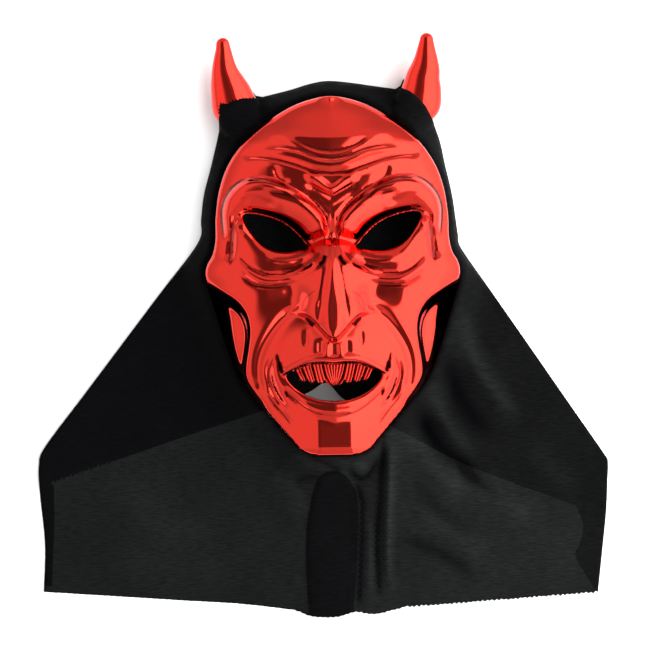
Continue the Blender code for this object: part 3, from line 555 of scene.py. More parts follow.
@dataclass
class FaceRelief:
    """The face's outside as a height over its rim, worked out once on a grid: forms, nose and folds."""

    top: float = 128.2
    half: float = 91.0
    chin_half: float = 18.0
    rise: float = -5.0
    edge: float = 0.845
    jaw_edge: float = 0.76
    dome_y: float = 52.0
    jaw_y: float = -60.0
    cell: float = 0.6
    blur_cells: float = 1.3

    def __post_init__(self) -> None:
        """Work out the outline and the grid of heights."""
        self.outline_half = (
            (0.0, self.top), (22.0, 123.6), (43.0, 112.3), (60.0, 98.6), (72.8, 81.4), (79.8, 63.4),
            (83.0, 43.0), (83.4, 27.0), (85.6, 16.5), (89.6, 9.0), (self.half, 2.0), (89.6, -6.5),
            (86.6, -17.0), (81.5, -34.0), (74.2, -56.2), (63.4, -78.5), (30.2, -117.4), (25.0, -123.6),
            (self.chin_half, -127.3), (9.0, -self.top), (0.0, -self.top),
        )
        outline = smooth_line(mirrored(self.outline_half), 1.0, True)
        self.right = outline[outline[:, 0] >= 0.0]
        self.low = np.array([-6.0, -132.0])
        xs = np.arange(self.low[0], 96.0, self.cell)
        ys = np.arange(self.low[1], 132.0, self.cell)
        x, y = np.meshgrid(xs, ys, indexing="ij")
        self.grid = self.blurred(self.raw_height(x.ravel(), y.ravel()).reshape(x.shape))

    def forehead_folds(self) -> tuple:
        """The level wrinkles that dip in the middle, and the V between the brows."""
        return (
            Fold(RIDGE, ((0.0, 97.5), (15.0, 98.4), (30.0, 100.0), (46.0, 101.0)), 2.2, 8.0, 0.4, 6.0),
            Fold(CREASE, ((0.0, 88.4), (8.0, 89.2), (15.0, 91.4), (22.0, 94.6),
                          (29.0, 97.4)), 1.3, 1.6, 0.35),
            Fold(RIDGE, ((0.0, 86.0), (8.0, 87.0), (16.0, 90.0), (26.0, 94.6), (38.0, 98.0)),
                 1.7, 1.9, 0.4, 2.4),
            Fold(CREASE, ((0.0, 83.2), (8.0, 84.0), (15.0, 86.4), (23.0, 89.6), (33.0, 91.4), (46.0, 91.6),
                          (60.0, 89.0)), 1.5, 1.5, 0.5),
            Fold(RIDGE, ((0.0, 80.4), (9.0, 81.8), (17.0, 85.0), (26.0, 88.2), (38.0, 90.0), (52.0, 90.2)),
                 3.0, 2.4, 0.35, 6.4),
            Fold(CREASE, ((0.0, 73.2), (12.0, 74.6), (20.0, 77.0), (30.0, 80.4), (42.0, 83.6), (54.0, 85.8),
                          (65.0, 86.4)), 2.3, 1.9, 0.12),
            Fold(RIDGE, ((0.0, 70.6), (12.0, 72.0), (25.0, 76.8), (37.0, 80.4), (50.0, 83.2), (62.0, 84.2)),
                 1.6, 2.0, 0.3, 2.6),
            Fold(CREASE, ((39.6, 80.6), (39.6, 75.4), (37.6, 70.6), (33.6, 67.8),
                          (28.0, 68.4)), 1.5, 1.5, 0.25),
            Fold(RIDGE, ((0.0, 61.6), (4.0, 63.6), (9.0, 67.4), (15.0, 70.0),
                         (20.0, 69.6)), 2.3, 2.2, 0.25, 4.2),
            Fold(CREASE, ((0.0, 55.8), (7.0, 59.8), (14.0, 63.6), (19.4, 66.8)), 2.2, 1.5, 0.3),
            Fold(CREASE, ((0.0, 48.0), (7.0, 52.4), (14.0, 57.6), (21.0, 61.8)), 1.0, 1.6, 0.35),
        )

    def eye_folds(self) -> tuple:
        """The roll of the brow, the lids round the eye and the bags below it."""
        return (
            Fold(ROLL, ((2.2, 24.0), (2.9, 32.0), (5.4, 40.5), (9.4, 47.4), (15.4, 53.8), (23.4, 59.8),
                        (32.4, 65.0), (42.0, 69.2), (52.0, 70.8), (61.4, 69.4), (69.4, 64.4), (75.6, 56.8),
                        (78.4, 47.6), (78.0, 36.0), (76.6, 24.0)), 6.6, 2.6, 0.08, reach=15.0),
            Fold(RIDGE, ((4.0, 38.0), (10.0, 47.0), (18.0, 53.6), (28.0, 57.4), (38.0, 60.0), (49.0, 60.6)),
                 -2.2, 2.9, 0.3),
            Fold(RIDGE, ((9.0, 44.0), (16.0, 50.8), (26.0, 56.0), (38.0, 61.6), (50.0, 65.6), (60.0, 65.4)),
                 1.0, 1.7, 0.3),
            Fold(CREASE, ((0.0, 26.4), (6.0, 26.4), (11.0, 24.6), (15.0, 21.4)), 1.8, 1.3, 0.3),
            Fold(RIDGE, ((2.2, 46.0), (2.0, 37.0), (2.0, 28.0)), 1.3, 1.1, 0.25),
            Fold(RIDGE, ((8.6, 41.0), (7.0, 34.0), (6.4, 28.0)), 1.3, 1.5, 0.25),
            Fold(CREASE, ((44.0, 53.4), (52.0, 56.4), (61.0, 57.4), (69.4, 55.0),
                          (75.0, 48.4)), 0.8, 1.3, 0.3),
            Fold(CREASE, ((12.0, 18.6), (16.2, 22.2), (23.4, 31.0), (31.2, 37.9), (40.1, 42.7), (49.5, 45.7),
                          (58.2, 47.1), (64.6, 45.6), (68.0, 42.0)), 2.6, 1.5, 0.12, 1.0),
            Fold(RIDGE, ((38.0, 50.0), (47.0, 52.6), (56.0, 53.6), (64.0, 51.6)), -1.0, 2.4, 0.3),
            Fold(CREASE, ((66.4, 48.0), (70.0, 39.0), (71.6, 29.0), (72.4, 19.0),
                          (73.6, 9.0)), 3.6, 2.3, 0.2, 1.6),
            Fold(CREASE, ((61.0, 45.6), (64.6, 41.0), (66.0, 34.0)), 0.9, 1.0, 0.3),
            Fold(RIDGE, ((12.0, 20.4), (19.0, 17.0), (27.0, 15.4), (36.0, 15.2), (44.0, 16.6), (52.0, 21.0),
                         (58.6, 28.0), (63.4, 37.0), (65.0, 44.0)), 4.6, 5.0, 0.1, 12.5),
            Fold(RIDGE, ((11.0, 19.6), (16.0, 15.6), (22.0, 12.6), (32.0, 10.6), (42.0, 11.4), (50.0, 15.0)),
                 1.3, 1.5, 0.25),
            Fold(RIDGE, ((8.0, 18.6), (13.0, 13.4), (20.0, 9.4), (28.0, 6.2), (38.0, 4.4)), 1.0, 1.3, 0.3),
            Fold(CREASE, ((28.0, 1.6), (38.0, 1.0), (48.0, 1.7), (56.0, 5.2), (62.6, 10.8), (67.4, 17.0)),
                 1.7, 1.2, 0.2),
            Fold(RIDGE, ((5.0, 15.0), (13.0, 6.6), (22.0, 1.4), (31.0, -2.2), (41.0, -3.4), (51.0, -2.0),
                         (60.0, 3.2), (68.0, 10.0)), 2.6, 3.0, 0.15),
            Fold(CREASE, ((26.0, -4.4), (35.0, -6.7), (45.0, -7.4), (55.0, -5.8), (63.0, -0.4), (70.0, 6.6)),
                 1.7, 1.6, 0.3),
            Fold(CREASE, ((82.0, 7.4), (77.0, 4.2), (70.0, -1.0), (64.0, -5.4)), 0.8, 1.4, 0.3),
        )

    def cheek_folds(self) -> tuple:
        """The soft fold from the nose round the mouth to the chin, and the folds inside it."""
        return (
            Fold(RIDGE, ((23.0, -19.4), (30.0, -24.4), (37.0, -30.4), (44.0, -39.0), (50.0, -49.0),
                         (53.2, -58.0),
                         (54.2, -67.0), (53.2, -76.0), (49.6, -85.0)), -2.5, 3.4, 0.12),
            Fold(CREASE, ((24.0, -20.0), (30.0, -24.0), (37.0, -29.0)), 1.3, 1.2, 0.35),
            Fold(RIDGE, ((43.0, -55.0), (46.0, -63.4), (46.8, -71.0), (44.4, -80.0), (39.8, -88.6),
                         (32.6, -97.4)), -2.9, 2.6, 0.25),
            Fold(CREASE, ((49.4, -82.6), (44.2, -89.6), (38.0, -97.2), (30.6, -107.4)), 1.3, 1.1, 0.3),
            Fold(CREASE, ((40.6, -55.0), (38.8, -61.0), (37.4, -68.4)), 1.5, 1.2, 0.3),
            Fold(RIDGE, ((41.6, -62.0), (41.2, -69.0), (38.0, -77.0), (33.0, -84.0)), 1.0, 2.2, 0.3),
        )

    def mouth_folds(self) -> tuple:
        """The lips, the furrow above them and the furrow over the chin."""
        return (
            Fold(RIDGE, ((0.0, -59.4), (9.0, -58.8), (17.0, -59.2), (25.0, -62.2), (32.0, -66.2),
                         (39.0, -70.6)),
                 2.6, 2.2, 0.15),
            Fold(RIDGE, ((0.0, -91.8), (10.0, -91.0), (20.0, -88.0), (27.0, -83.6), (33.4, -78.0),
                         (38.0, -72.6)), 0.8, 1.3, 0.3),
            Fold(RIDGE, ((0.0, -95.6), (10.0, -94.8), (20.0, -91.8), (27.0, -87.6)), 0.6, 1.1, 0.3),
            Fold(CREASE, ((0.0, -100.8), (8.0, -99.8), (15.0, -97.2), (22.5, -92.6), (30.0, -86.2),
                          (35.6, -80.4)), 1.1, 1.2, 0.1),
            Fold(RIDGE, ((4.6, -46.0), (5.2, -58.0)), 1.7, 1.9, 0.25),
            Fold(RIDGE, ((9.4, -45.0), (9.6, -57.0)), -1.5, 2.4, 0.25),
            Fold(RIDGE, ((19.0, -37.4), (19.6, -45.0), (19.4, -52.0)), -1.3, 1.7, 0.3),
        )

    def painted_shade_lines(self) -> tuple:
        """The thin creases of the right half where shade is painted on the lacquer: line, half width and how
        dark.
        """
        across = np.arange(0.0, 39.5, 1.5)
        lip = tuple(zip(across, Teeth().lip(across) - 0.7))
        foot_x = np.arange(0.0, 23.0, 1.0)
        return (
            (lip, 1.05, 1.0),
            (tuple(zip(foot_x, self.nose_foot(foot_x) + 0.1)), 0.45, 1.0),
            (((14.4, -36.6), (16.4, -33.4), (20.0, -29.4)), 1.15, 1.0),
            (((12.6, 18.8), (16.2, 22.2), (23.4, 31.0), (31.2, 37.9), (40.1, 42.7), (49.5, 45.7),
              (58.2, 47.1),
              (64.0, 46.0)), 1.15, 1.0),
            (((58.0, 70.4), (64.0, 68.6), (70.0, 64.2), (75.6, 57.0), (78.6, 47.6), (78.2, 36.0),
              (77.4, 26.0)),
             0.72, 1.0),
            (((40.8, -54.6), (39.4, -59.6), (38.0, -64.8)), 0.8, 1.0),
            (((39.0, -60.6), (38.2, -65.4), (37.0, -69.6)), 1.7, 1.0),
            (((35.6, -81.4), (34.4, -83.6), (33.6, -86.4)), 0.95, 1.0),
            (((4.8, 14.6), (6.8, 9.8), (10.0, 7.6)), 1.7, 1.0),
            (((35.4, -80.6), (30.0, -86.2), (22.4, -92.8), (15.0, -97.2), (6.0, -99.8)), 0.4, 0.9),
            (((48.8, -83.6), (44.2, -89.6), (38.0, -97.2), (31.0, -107.0)), 0.4, 1.0),
            (((0.0, 73.0), (12.0, 74.4), (20.0, 76.8), (28.0, 79.6), (40.0, 83.4), (56.0, 85.6)), 0.8, 0.75),
            (((0.0, 88.4), (10.0, 89.8), (20.0, 93.6), (28.0, 97.0)), 0.8, 0.65),
            (((0.0, 83.2), (12.0, 85.0), (20.0, 88.4), (28.0, 91.2), (38.0, 92.0)), 0.8, 0.65),
            (((0.0, 78.4), (12.0, 79.8), (20.0, 82.6), (30.0, 86.0), (40.0, 87.6)), 0.9, 0.5),
            (((0.0, 56.4), (8.0, 60.6), (15.0, 64.6)), 0.35, 0.8),
            (((16.0, 19.4), (25.0, 14.4), (35.0, 12.4), (44.0, 12.8)), 1.2, 0.6),
            (((8.0, 17.6), (15.0, 10.4), (25.0, 5.8), (38.0, 2.8)), 1.7, 0.62),
            (((38.0, 1.8), (48.0, 1.2), (56.0, 4.4), (63.0, 10.6), (66.4, 14.6)), 0.5, 0.85),
            (((30.0, -5.6), (45.0, -7.4), (55.0, -5.8), (64.0, 0.0)), 1.7, 0.62),
            (((69.4, 41.0), (71.2, 29.0), (71.8, 19.0), (73.4, 7.0)), 1.7, 0.66),
            (((6.6, 6.0), (8.0, -5.0), (9.4, -14.0), (11.0, -21.0)), 0.55, 0.6),
            (((12.0, -10.4), (15.4, -12.4), (19.4, -15.6), (21.6, -20.6), (22.4, -26.0)), 0.4, 0.5),
            (((43.0, -57.0), (46.0, -65.0), (46.5, -72.0), (43.0, -82.0)), 0.6, 0.7),
            (((28.0, 61.0), (36.0, 64.2), (45.0, 67.0), (54.0, 67.6), (62.0, 65.4)), 1.3, 0.62),
            (((3.4, 39.6), (10.0, 47.6), (18.0, 53.4), (27.0, 56.8), (38.0, 59.6), (47.0, 60.0)), 1.5, 0.62),
            (((7.4, 27.0), (8.6, 35.0), (12.0, 42.0), (18.0, 47.6), (25.0, 51.6)), 0.8, 0.65),
            (((3.4, 27.6), (3.2, 36.0), (4.6, 44.0)), 0.5, 0.7),
        )

    def crease_painted_shade(self, x: np.ndarray, y: np.ndarray) -> np.ndarray:
        """How much painted shade each point takes in the thin creases, 0 to 1."""
        depth = np.zeros(np.shape(x))
        # Painted shade: each line darkens the lacquer across its half width.
        for line, half, dark in self.painted_shade_lines():
            gap, along, _ = near_line(np.abs(x), y, smooth_line(line, 0.7), 4.0)
            ends = ease((1.0 - along) / 0.22) * (ease(along / 0.22) if line[0][0] > 0.0 else 1.0)
            across = ease((half * (0.45 + 0.55 * ends) + 0.35 - gap) / 0.7)
            depth = np.maximum(depth, dark * across * ease(3.0 * ends))
        return depth

    def dense_points(self) -> np.ndarray:
        """Extra points for the mesh along every line of painted shade and every narrow fold."""
        found = []
        lines = [(line, (-0.9, -0.45, 0.0, 0.45, 0.9)) for line, _, _ in self.painted_shade_lines()]
        lines += [(fold.line, (-0.8, 0.0, 0.8)) for fold in self.folds() if fold.width < 2.7]
        for line, offsets in lines:
            path = smooth_line(line, 0.75)
            run = np.gradient(path, axis=0)
            run /= np.maximum(np.hypot(run[:, 0], run[:, 1]), 1e-9)[:, None]
            for offset in offsets:
                found.append(path + np.column_stack([-run[:, 1], run[:, 0]]) * offset)
        points = np.vstack(found)
        return np.vstack([points, points * (-1.0, 1.0)])

    def folds(self) -> tuple:
        """Every fold of the face's right half."""
        return self.forehead_folds() + self.eye_folds() + self.cheek_folds() + self.mouth_folds()

    def half_width(self, y: np.ndarray) -> np.ndarray:
        """Half the mask's width at each height."""
        order = np.argsort(self.right[:, 1], kind="stable")
        return np.interp(y, self.right[order, 1], self.right[order, 0])

    def reach_share(self, out: np.ndarray, y: np.ndarray, centre_y: float, upward: float,
                    soften: float) -> np.ndarray:
        """How far out points lie, as a share of the outline's distance that way.

        Args:
            out: the points' distances from the middle line, in mm.
            y: the points' places up, in mm.
            centre_y: the height of the centre that distances are taken from.
            upward: 1 for the crown and -1 for the jaw.
            soften: how wide the middle line is rounded over, in mm.

        Returns:
            The share, 0 at the centre and 1 at the outline.
        """
        ahead = self.right[(self.right[:, 1] - centre_y) * upward >= -4.0]
        bearing = np.arctan2((ahead[:, 1] - centre_y) * upward, ahead[:, 0])
        order = np.argsort(bearing, kind="stable")
        there = np.arctan2((y - centre_y) * upward, np.hypot(out, soften))
        limit = np.interp(there, bearing[order], np.hypot(ahead[:, 0], ahead[:, 1] - centre_y)[order])
        return np.hypot(out, y - centre_y) / limit

    def base_form(self, out: np.ndarray, y: np.ndarray) -> np.ndarray:
        """The large form: a dome in the forehead, narrowing to a blunt jaw."""
        level = graph(y, (-134.0, -100.0, -84.0, -62.0, -35.0, -5.0, 20.0, 45.0, 70.0, 134.0),
                      (49.0, 54.0, 57.0, 58.4, 55.4, 52.8, 52.0, 54.5, 56.5, 56.5))
        edge = graph(y, (-134.0, -90.0, -50.0, -10.0, 40.0, 134.0),
                     (self.jaw_edge, self.jaw_edge, 0.5 * (self.edge + self.jaw_edge), self.edge, self.edge,
                      self.edge))
        share = out / np.maximum(self.half_width(y), 1.0)
        crown = self.reach_share(out, y, self.dome_y, 1.0, 26.0)
        jaw = self.reach_share(out, y, self.jaw_y, -1.0, 8.0)
        share = share + (crown - share) * ease((y - self.dome_y + 10.0) / 24.0)
        share = share + (jaw - share) * ease((self.jaw_y + 8.0 - y) / 18.0)
        power = graph(y, (-134.0, -50.0, -10.0, 20.0, 134.0), (2.15, 2.15, 2.5, 3.2, 3.2))
        return level * np.sqrt(1.0 - (edge * np.clip(share, 0.0, 1.1)) ** power)

    def nose_foot(self, out: np.ndarray) -> np.ndarray:
        """The height of the nose's lower edge, from its hooked tip out to its wings."""
        return graph(out, (-3.0, 0.0, 3.0, 7.0, 11.0, 15.0, 19.0, 24.0, 34.0),
                     (-43.4, -44.2, -43.4, -39.6, -34.8, -30.6, -27.6, -26.0, -25.6))

    def nose(self, out: np.ndarray, y: np.ndarray, middle: np.ndarray) -> np.ndarray:
        """The hooked nose: a ridge with a level top, steep flanks and a broad base, and two wings.

        Args:
            out: the points' distances from the middle line, in mm.
            y: the points' places up, in mm.
            middle: the height of the face on the middle line beside each point, in mm.

        Returns:
            The height that the nose adds, in mm.
        """
        top = graph(y, (-62.0, -45.0, -38.0, -30.0, -20.0, -10.0, 0.0, 10.0, 20.0, 28.0, 36.0, 60.0),
                    (76.6, 75.4, 74.2, 72.2, 70.2, 68.6, 67.0, 64.0, 57.6, 50.4, 48.0, 40.0))
        flat = graph(y, (-60.0, -42.0, -38.0, -30.0, -20.0, -10.0, -4.0, 6.0, 20.0, 60.0),
                     (1.0, 1.0, 2.6, 3.3, 2.9, 1.7, 1.0, 0.2, 0.0, 0.0))
        flank = graph(y, (-60.0, -30.0, -20.0, -10.0, 0.0, 10.0, 20.0, 60.0),
                      (7.6, 7.0, 6.2, 5.6, 5.0, 4.0, 3.0, 3.0))
        foot = graph(y, (-62.0, -8.0, 0.0, 6.0, 12.0, 60.0), (0.54, 0.54, 0.62, 0.8, 0.9, 0.9))
        beyond = np.clip(out - flat, 0.0, None)
        fall = (0.76 * (np.minimum(beyond, flank) - 0.9 * (1.0 - np.exp(-beyond / 0.9)))
                - 0.02 * np.clip(beyond - flank, 0.0, 2.2)
                + foot * np.clip(beyond - flank - 2.2, 0.0, None))
        ridge = top - middle - fall
        wing = 3.2 * mound(out, y, (16.4, -21.0), (7.2, 9.0))
        body = np.logaddexp(ridge / 1.2, 0.0) * 1.2 + wing
        return body * ease((y - self.nose_foot(out) + 3.8) / 4.2)

    def cheek_hollow(self, out: np.ndarray, y: np.ndarray) -> np.ndarray:
        """The depth of the hollow below the cheekbone: a steep wall, a shallow floor and a rolled-off rim.

        Args:
            out: the points' distances from the middle line, in mm.
            y: the points' places up, in mm.

        Returns:
            The depth at each point, in mm.
        """
        wall_x = graph(y, (-110.0, -96.0, -84.0, -72.0, -62.0, -50.0, -40.0, -32.0, -24.0, -18.0, -12.0,
                           -6.0, 0.0),
                       (47.0, 53.5, 60.0, 62.4, 61.8, 59.4, 58.0, 58.8, 61.6, 66.0, 74.5, 84.0, 93.0))
        wall = graph(y, (-110.0, -84.0, -60.0, -40.0, -28.0, -20.0, -8.0),
                     (2.2, 2.8, 4.6, 6.4, 8.0, 12.0, 13.0))
        depth = graph(y, (-110.0, -92.0, -80.0, -70.0, -58.0, -40.0, -28.0, -18.0, -9.0, -3.0, 3.0),
                      (0.0, 0.0, 3.0, 5.4, 7.0, 8.8, 11.4, 13.2, 10.0, 4.0, 0.0))
        rim_width = graph(y, (-110.0, -80.0, -60.0, -50.0, -40.0, -30.0, -20.0, -10.0),
                          (2.0, 4.0, 5.0, 6.6, 8.6, 11.0, 12.0, 9.0))
        rim_depth = graph(y, (-110.0, -96.0, -80.0, -60.0, -40.0, -30.0, -18.0, -8.0, 0.0),
                          (0.0, 0.0, 6.0, 7.0, 9.0, 9.0, 5.0, 1.0, 0.0))
        to_edge = self.half_width(y) - out
        return (depth * ease((out - wall_x) / wall)
                + rim_depth * ease((rim_width - to_edge) / np.maximum(rim_width, 1.0)))

    def broad_forms(self, out: np.ndarray, y: np.ndarray) -> np.ndarray:
        """Sockets, cheekbones, hollow cheeks, muzzle and chin, on the large form."""
        z = self.base_form(out, y)
        z -= 7.0 * mound(out, y, (0.0, 23.0), (12.0, 11.0))
        z -= 9.5 * mound(out, y, (34.0, 29.0), (28.0, 14.0), 26.0)
        z += 3.4 * mound(out, y, (66.0, 1.0), (24.0, 14.0), 14.0)
        z += 2.6 * mound(out, y, (60.0, 58.0), (17.0, 11.0))
        z += 3.0 * mound(out, y, (54.0, -16.0), (18.0, 12.0), -30.0)
        z -= 0.11 * (out - 38.0) * mound(out, y, (38.0, -9.0), (7.0, 8.0))
        z -= 3.0 * mound(out, y, (27.0, -12.0), (7.0, 12.0), -38.0)
        z += 7.0 * mound(np.hypot(out, 4.0), y, (6.0, -50.0), (20.0, 17.0))
        chin = 49.0 - 0.5 * np.clip(out - 12.0, 0.0, None) - 0.7 * np.clip(-122.5 - y, 0.0, None)
        chin -= 1.1 * np.clip(y + 104.5, 0.0, None)
        z = np.logaddexp(z / 0.8, chin / 0.8) * 0.8
        edge = graph(out, (-4.0, 0.0, 10.0, 18.0, 25.0, 30.0, 34.0, 60.0),
                     (-89.2, -89.3, -88.2, -85.4, -81.4, -77.6, -72.0, -50.0))
        reach = graph(out, (-4.0, 0.0, 14.0, 24.0, 34.0, 60.0), (8.8, 8.8, 8.6, 7.0, 3.0, 3.0))
        shelf = (53.6 - 0.10 * out - 0.6 * np.clip(edge - y - reach, 0.0, None)
                 - 0.3 * np.clip(y - edge, 0.0, None))
        z = np.logaddexp(z / 0.5, np.where(out < 40.0, shelf, 0.0) / 0.5) * 0.5
        return z - self.cheek_hollow(out, y)

    def raw_height(self, x: np.ndarray, y: np.ndarray) -> np.ndarray:
        """The height of the outside over the rim before it is smoothed, without the teeth."""
        out = np.abs(x)
        middle = self.broad_forms(np.zeros(np.shape(x)), y)
        z = self.broad_forms(out, y) + self.nose(out, y, middle) + self.rise
        for fold in self.folds():
            z = z + fold.relief(out, y)
        return z

    def blurred(self, grid: np.ndarray) -> np.ndarray:
        """A grid smoothed a little both ways, as moulding a thick sheet smooths the finest edges."""
        reach = int(math.ceil(3.0 * self.blur_cells))
        weights = np.exp(-0.5 * (np.arange(-reach, reach + 1) / self.blur_cells) ** 2)
        weights /= weights.sum()
        for axis in (0, 1):
            padding = [(reach, reach) if a == axis else (0, 0) for a in (0, 1)]
            wide = np.pad(grid, padding, mode="edge")
            size = grid.shape[axis]
            grid = sum(weight * np.take(wide, range(k, k + size), axis=axis)
                       for k, weight in enumerate(weights))
        return grid

    def height(self, x: np.ndarray, y: np.ndarray) -> np.ndarray:
        """The height of the outside over the rim, without the teeth.

        Args:
            x: the points' places across, in mm.
            y: the points' places up, in mm.

        Returns:
            The height at each point, in mm, read smoothly between the grid's points.
        """
        place = (np.column_stack([np.abs(x), y]) - self.low) / self.cell
        place = np.clip(place, 1.0, np.array(self.grid.shape) - 3.001)
        whole = place.astype(int)
        t = place - whole
        weights = [((-0.5 * t + 1.0) * t - 0.5) * t, (1.5 * t - 2.5) * t * t + 1.0,
                   ((-1.5 * t + 2.0) * t + 0.5) * t, (0.5 * t - 0.5) * t * t]
        z = np.zeros(len(t))
        for i, across in enumerate(weights):
            for j, up in enumerate(weights):
                z += across[:, 0] * up[:, 1] * self.grid[whole[:, 0] + i - 1, whole[:, 1] + j - 1]
        return z


@dataclass
class Teeth:
    """The row of ribbed teeth under the upper lip, set back behind it and leaning in to the middle."""

    set_back: float = 6.0
    rib: float = 1.15
    rib_pitch: float = 2.5
    lean: float = 0.2
    middle_lean: float = 0.5
    bounds: tuple = (6.7, 13.2, 19.3)
    half_row: float = 26.2
    corner: tuple = ((27.0, -70.6), (28.0, -68.4), (30.0, -67.8), (32.4, -69.0), (34.2, -71.2))

    def lip(self, out: np.ndarray) -> np.ndarray:
        """The height of the upper lip's edge at each distance from the middle line."""
        return graph(out, (-4.0, 0.0, 8.0, 15.0, 22.0, 28.0, 35.0, 44.0),
                     (-61.6, -61.8, -61.2, -61.4, -63.0, -65.6, -68.8, -73.0))

    def bottom(self, out: np.ndarray) -> np.ndarray:
        """The height of the teeth's lower ends at each distance from the middle line."""
        row = graph(out, (-4.0, 0.0, 4.0, 9.5, 16.0, 22.0, 26.0, 34.0),
                    (-78.2, -78.4, -77.6, -76.8, -76.4, -75.2, -73.0, -70.0))
        for bound in self.bounds:
            row = row + 2.6 * np.exp(-((out - bound) / 1.0) ** 2)
        return row

    def gaps(self, root: np.ndarray) -> np.ndarray:
        """How far between two teeth each point lies, 1 in the middle of a gap."""
        return sum(np.exp(-((root - bound / (1.0 - self.lean)) / 0.8) ** 2) for bound in self.bounds)

    def roots(self, out: np.ndarray, y: np.ndarray) -> tuple:
        """How far below the lip each point is, as a share of a tooth, and where its rib starts at the lip."""
        down = np.clip((self.lip(out) - y) / 14.0, 0.0, 1.2)
        return down, out / (1.0 - (self.lean + self.middle_lean * np.exp(-(out / 6.0) ** 2)) * down)

    def shadow(self, x: np.ndarray, y: np.ndarray) -> np.ndarray:
        """How dark each point is between the ribs, between the teeth and just under the lip, 0 to 1."""
        out = np.abs(x)
        down, root = self.roots(out, y)
        on_row = (ease((self.lip(out) - y) / 1.0) * ease((self.half_row + 3.0 - out) / 1.5)
                  * ease((y + 80.0) / 1.5))
        valley = ease((0.74 - np.abs(np.cos(math.pi * root / self.rib_pitch))) / 0.5)
        under_lip = ease((0.19 - down) / 0.1)
        return on_row * np.maximum(np.maximum(0.92 * valley, self.gaps(root)), under_lip)

    def relief(self, x: np.ndarray, y: np.ndarray) -> np.ndarray:
        """Height of the teeth against the lip.

        Args:
            x: the points' places across, in mm.
            y: the points' places up, in mm.

        Returns:
            The height that they add, below zero, in mm.
        """
        out = np.abs(x)
        lip = self.lip(out)
        down, root = self.roots(out, y)
        gum = graph(out, (-4.0, 24.0, 27.0, 30.0, 33.0, 36.0, 60.0),
                    (-80.0, -80.0, -77.4, -73.6, -71.4, -70.0, -70.0))
        band = ease((lip - y) / 1.1) * ease((y - gum) / 1.3)
        ribs = 2.0 * np.abs(np.cos(math.pi * root / self.rib_pitch)) - 1.0
        gaps = self.gaps(root)
        bulge = 3.0 * mound(x, y, (0.0, -72.0), (9.0, 9.0)) + 2.0 * ease(down / 0.7)
        on_row = ease((self.half_row + 4.0 - out) / 4.0)
        return band * (bulge - self.set_back + on_row * (0.5 * self.rib * ribs - 1.3 * gaps))


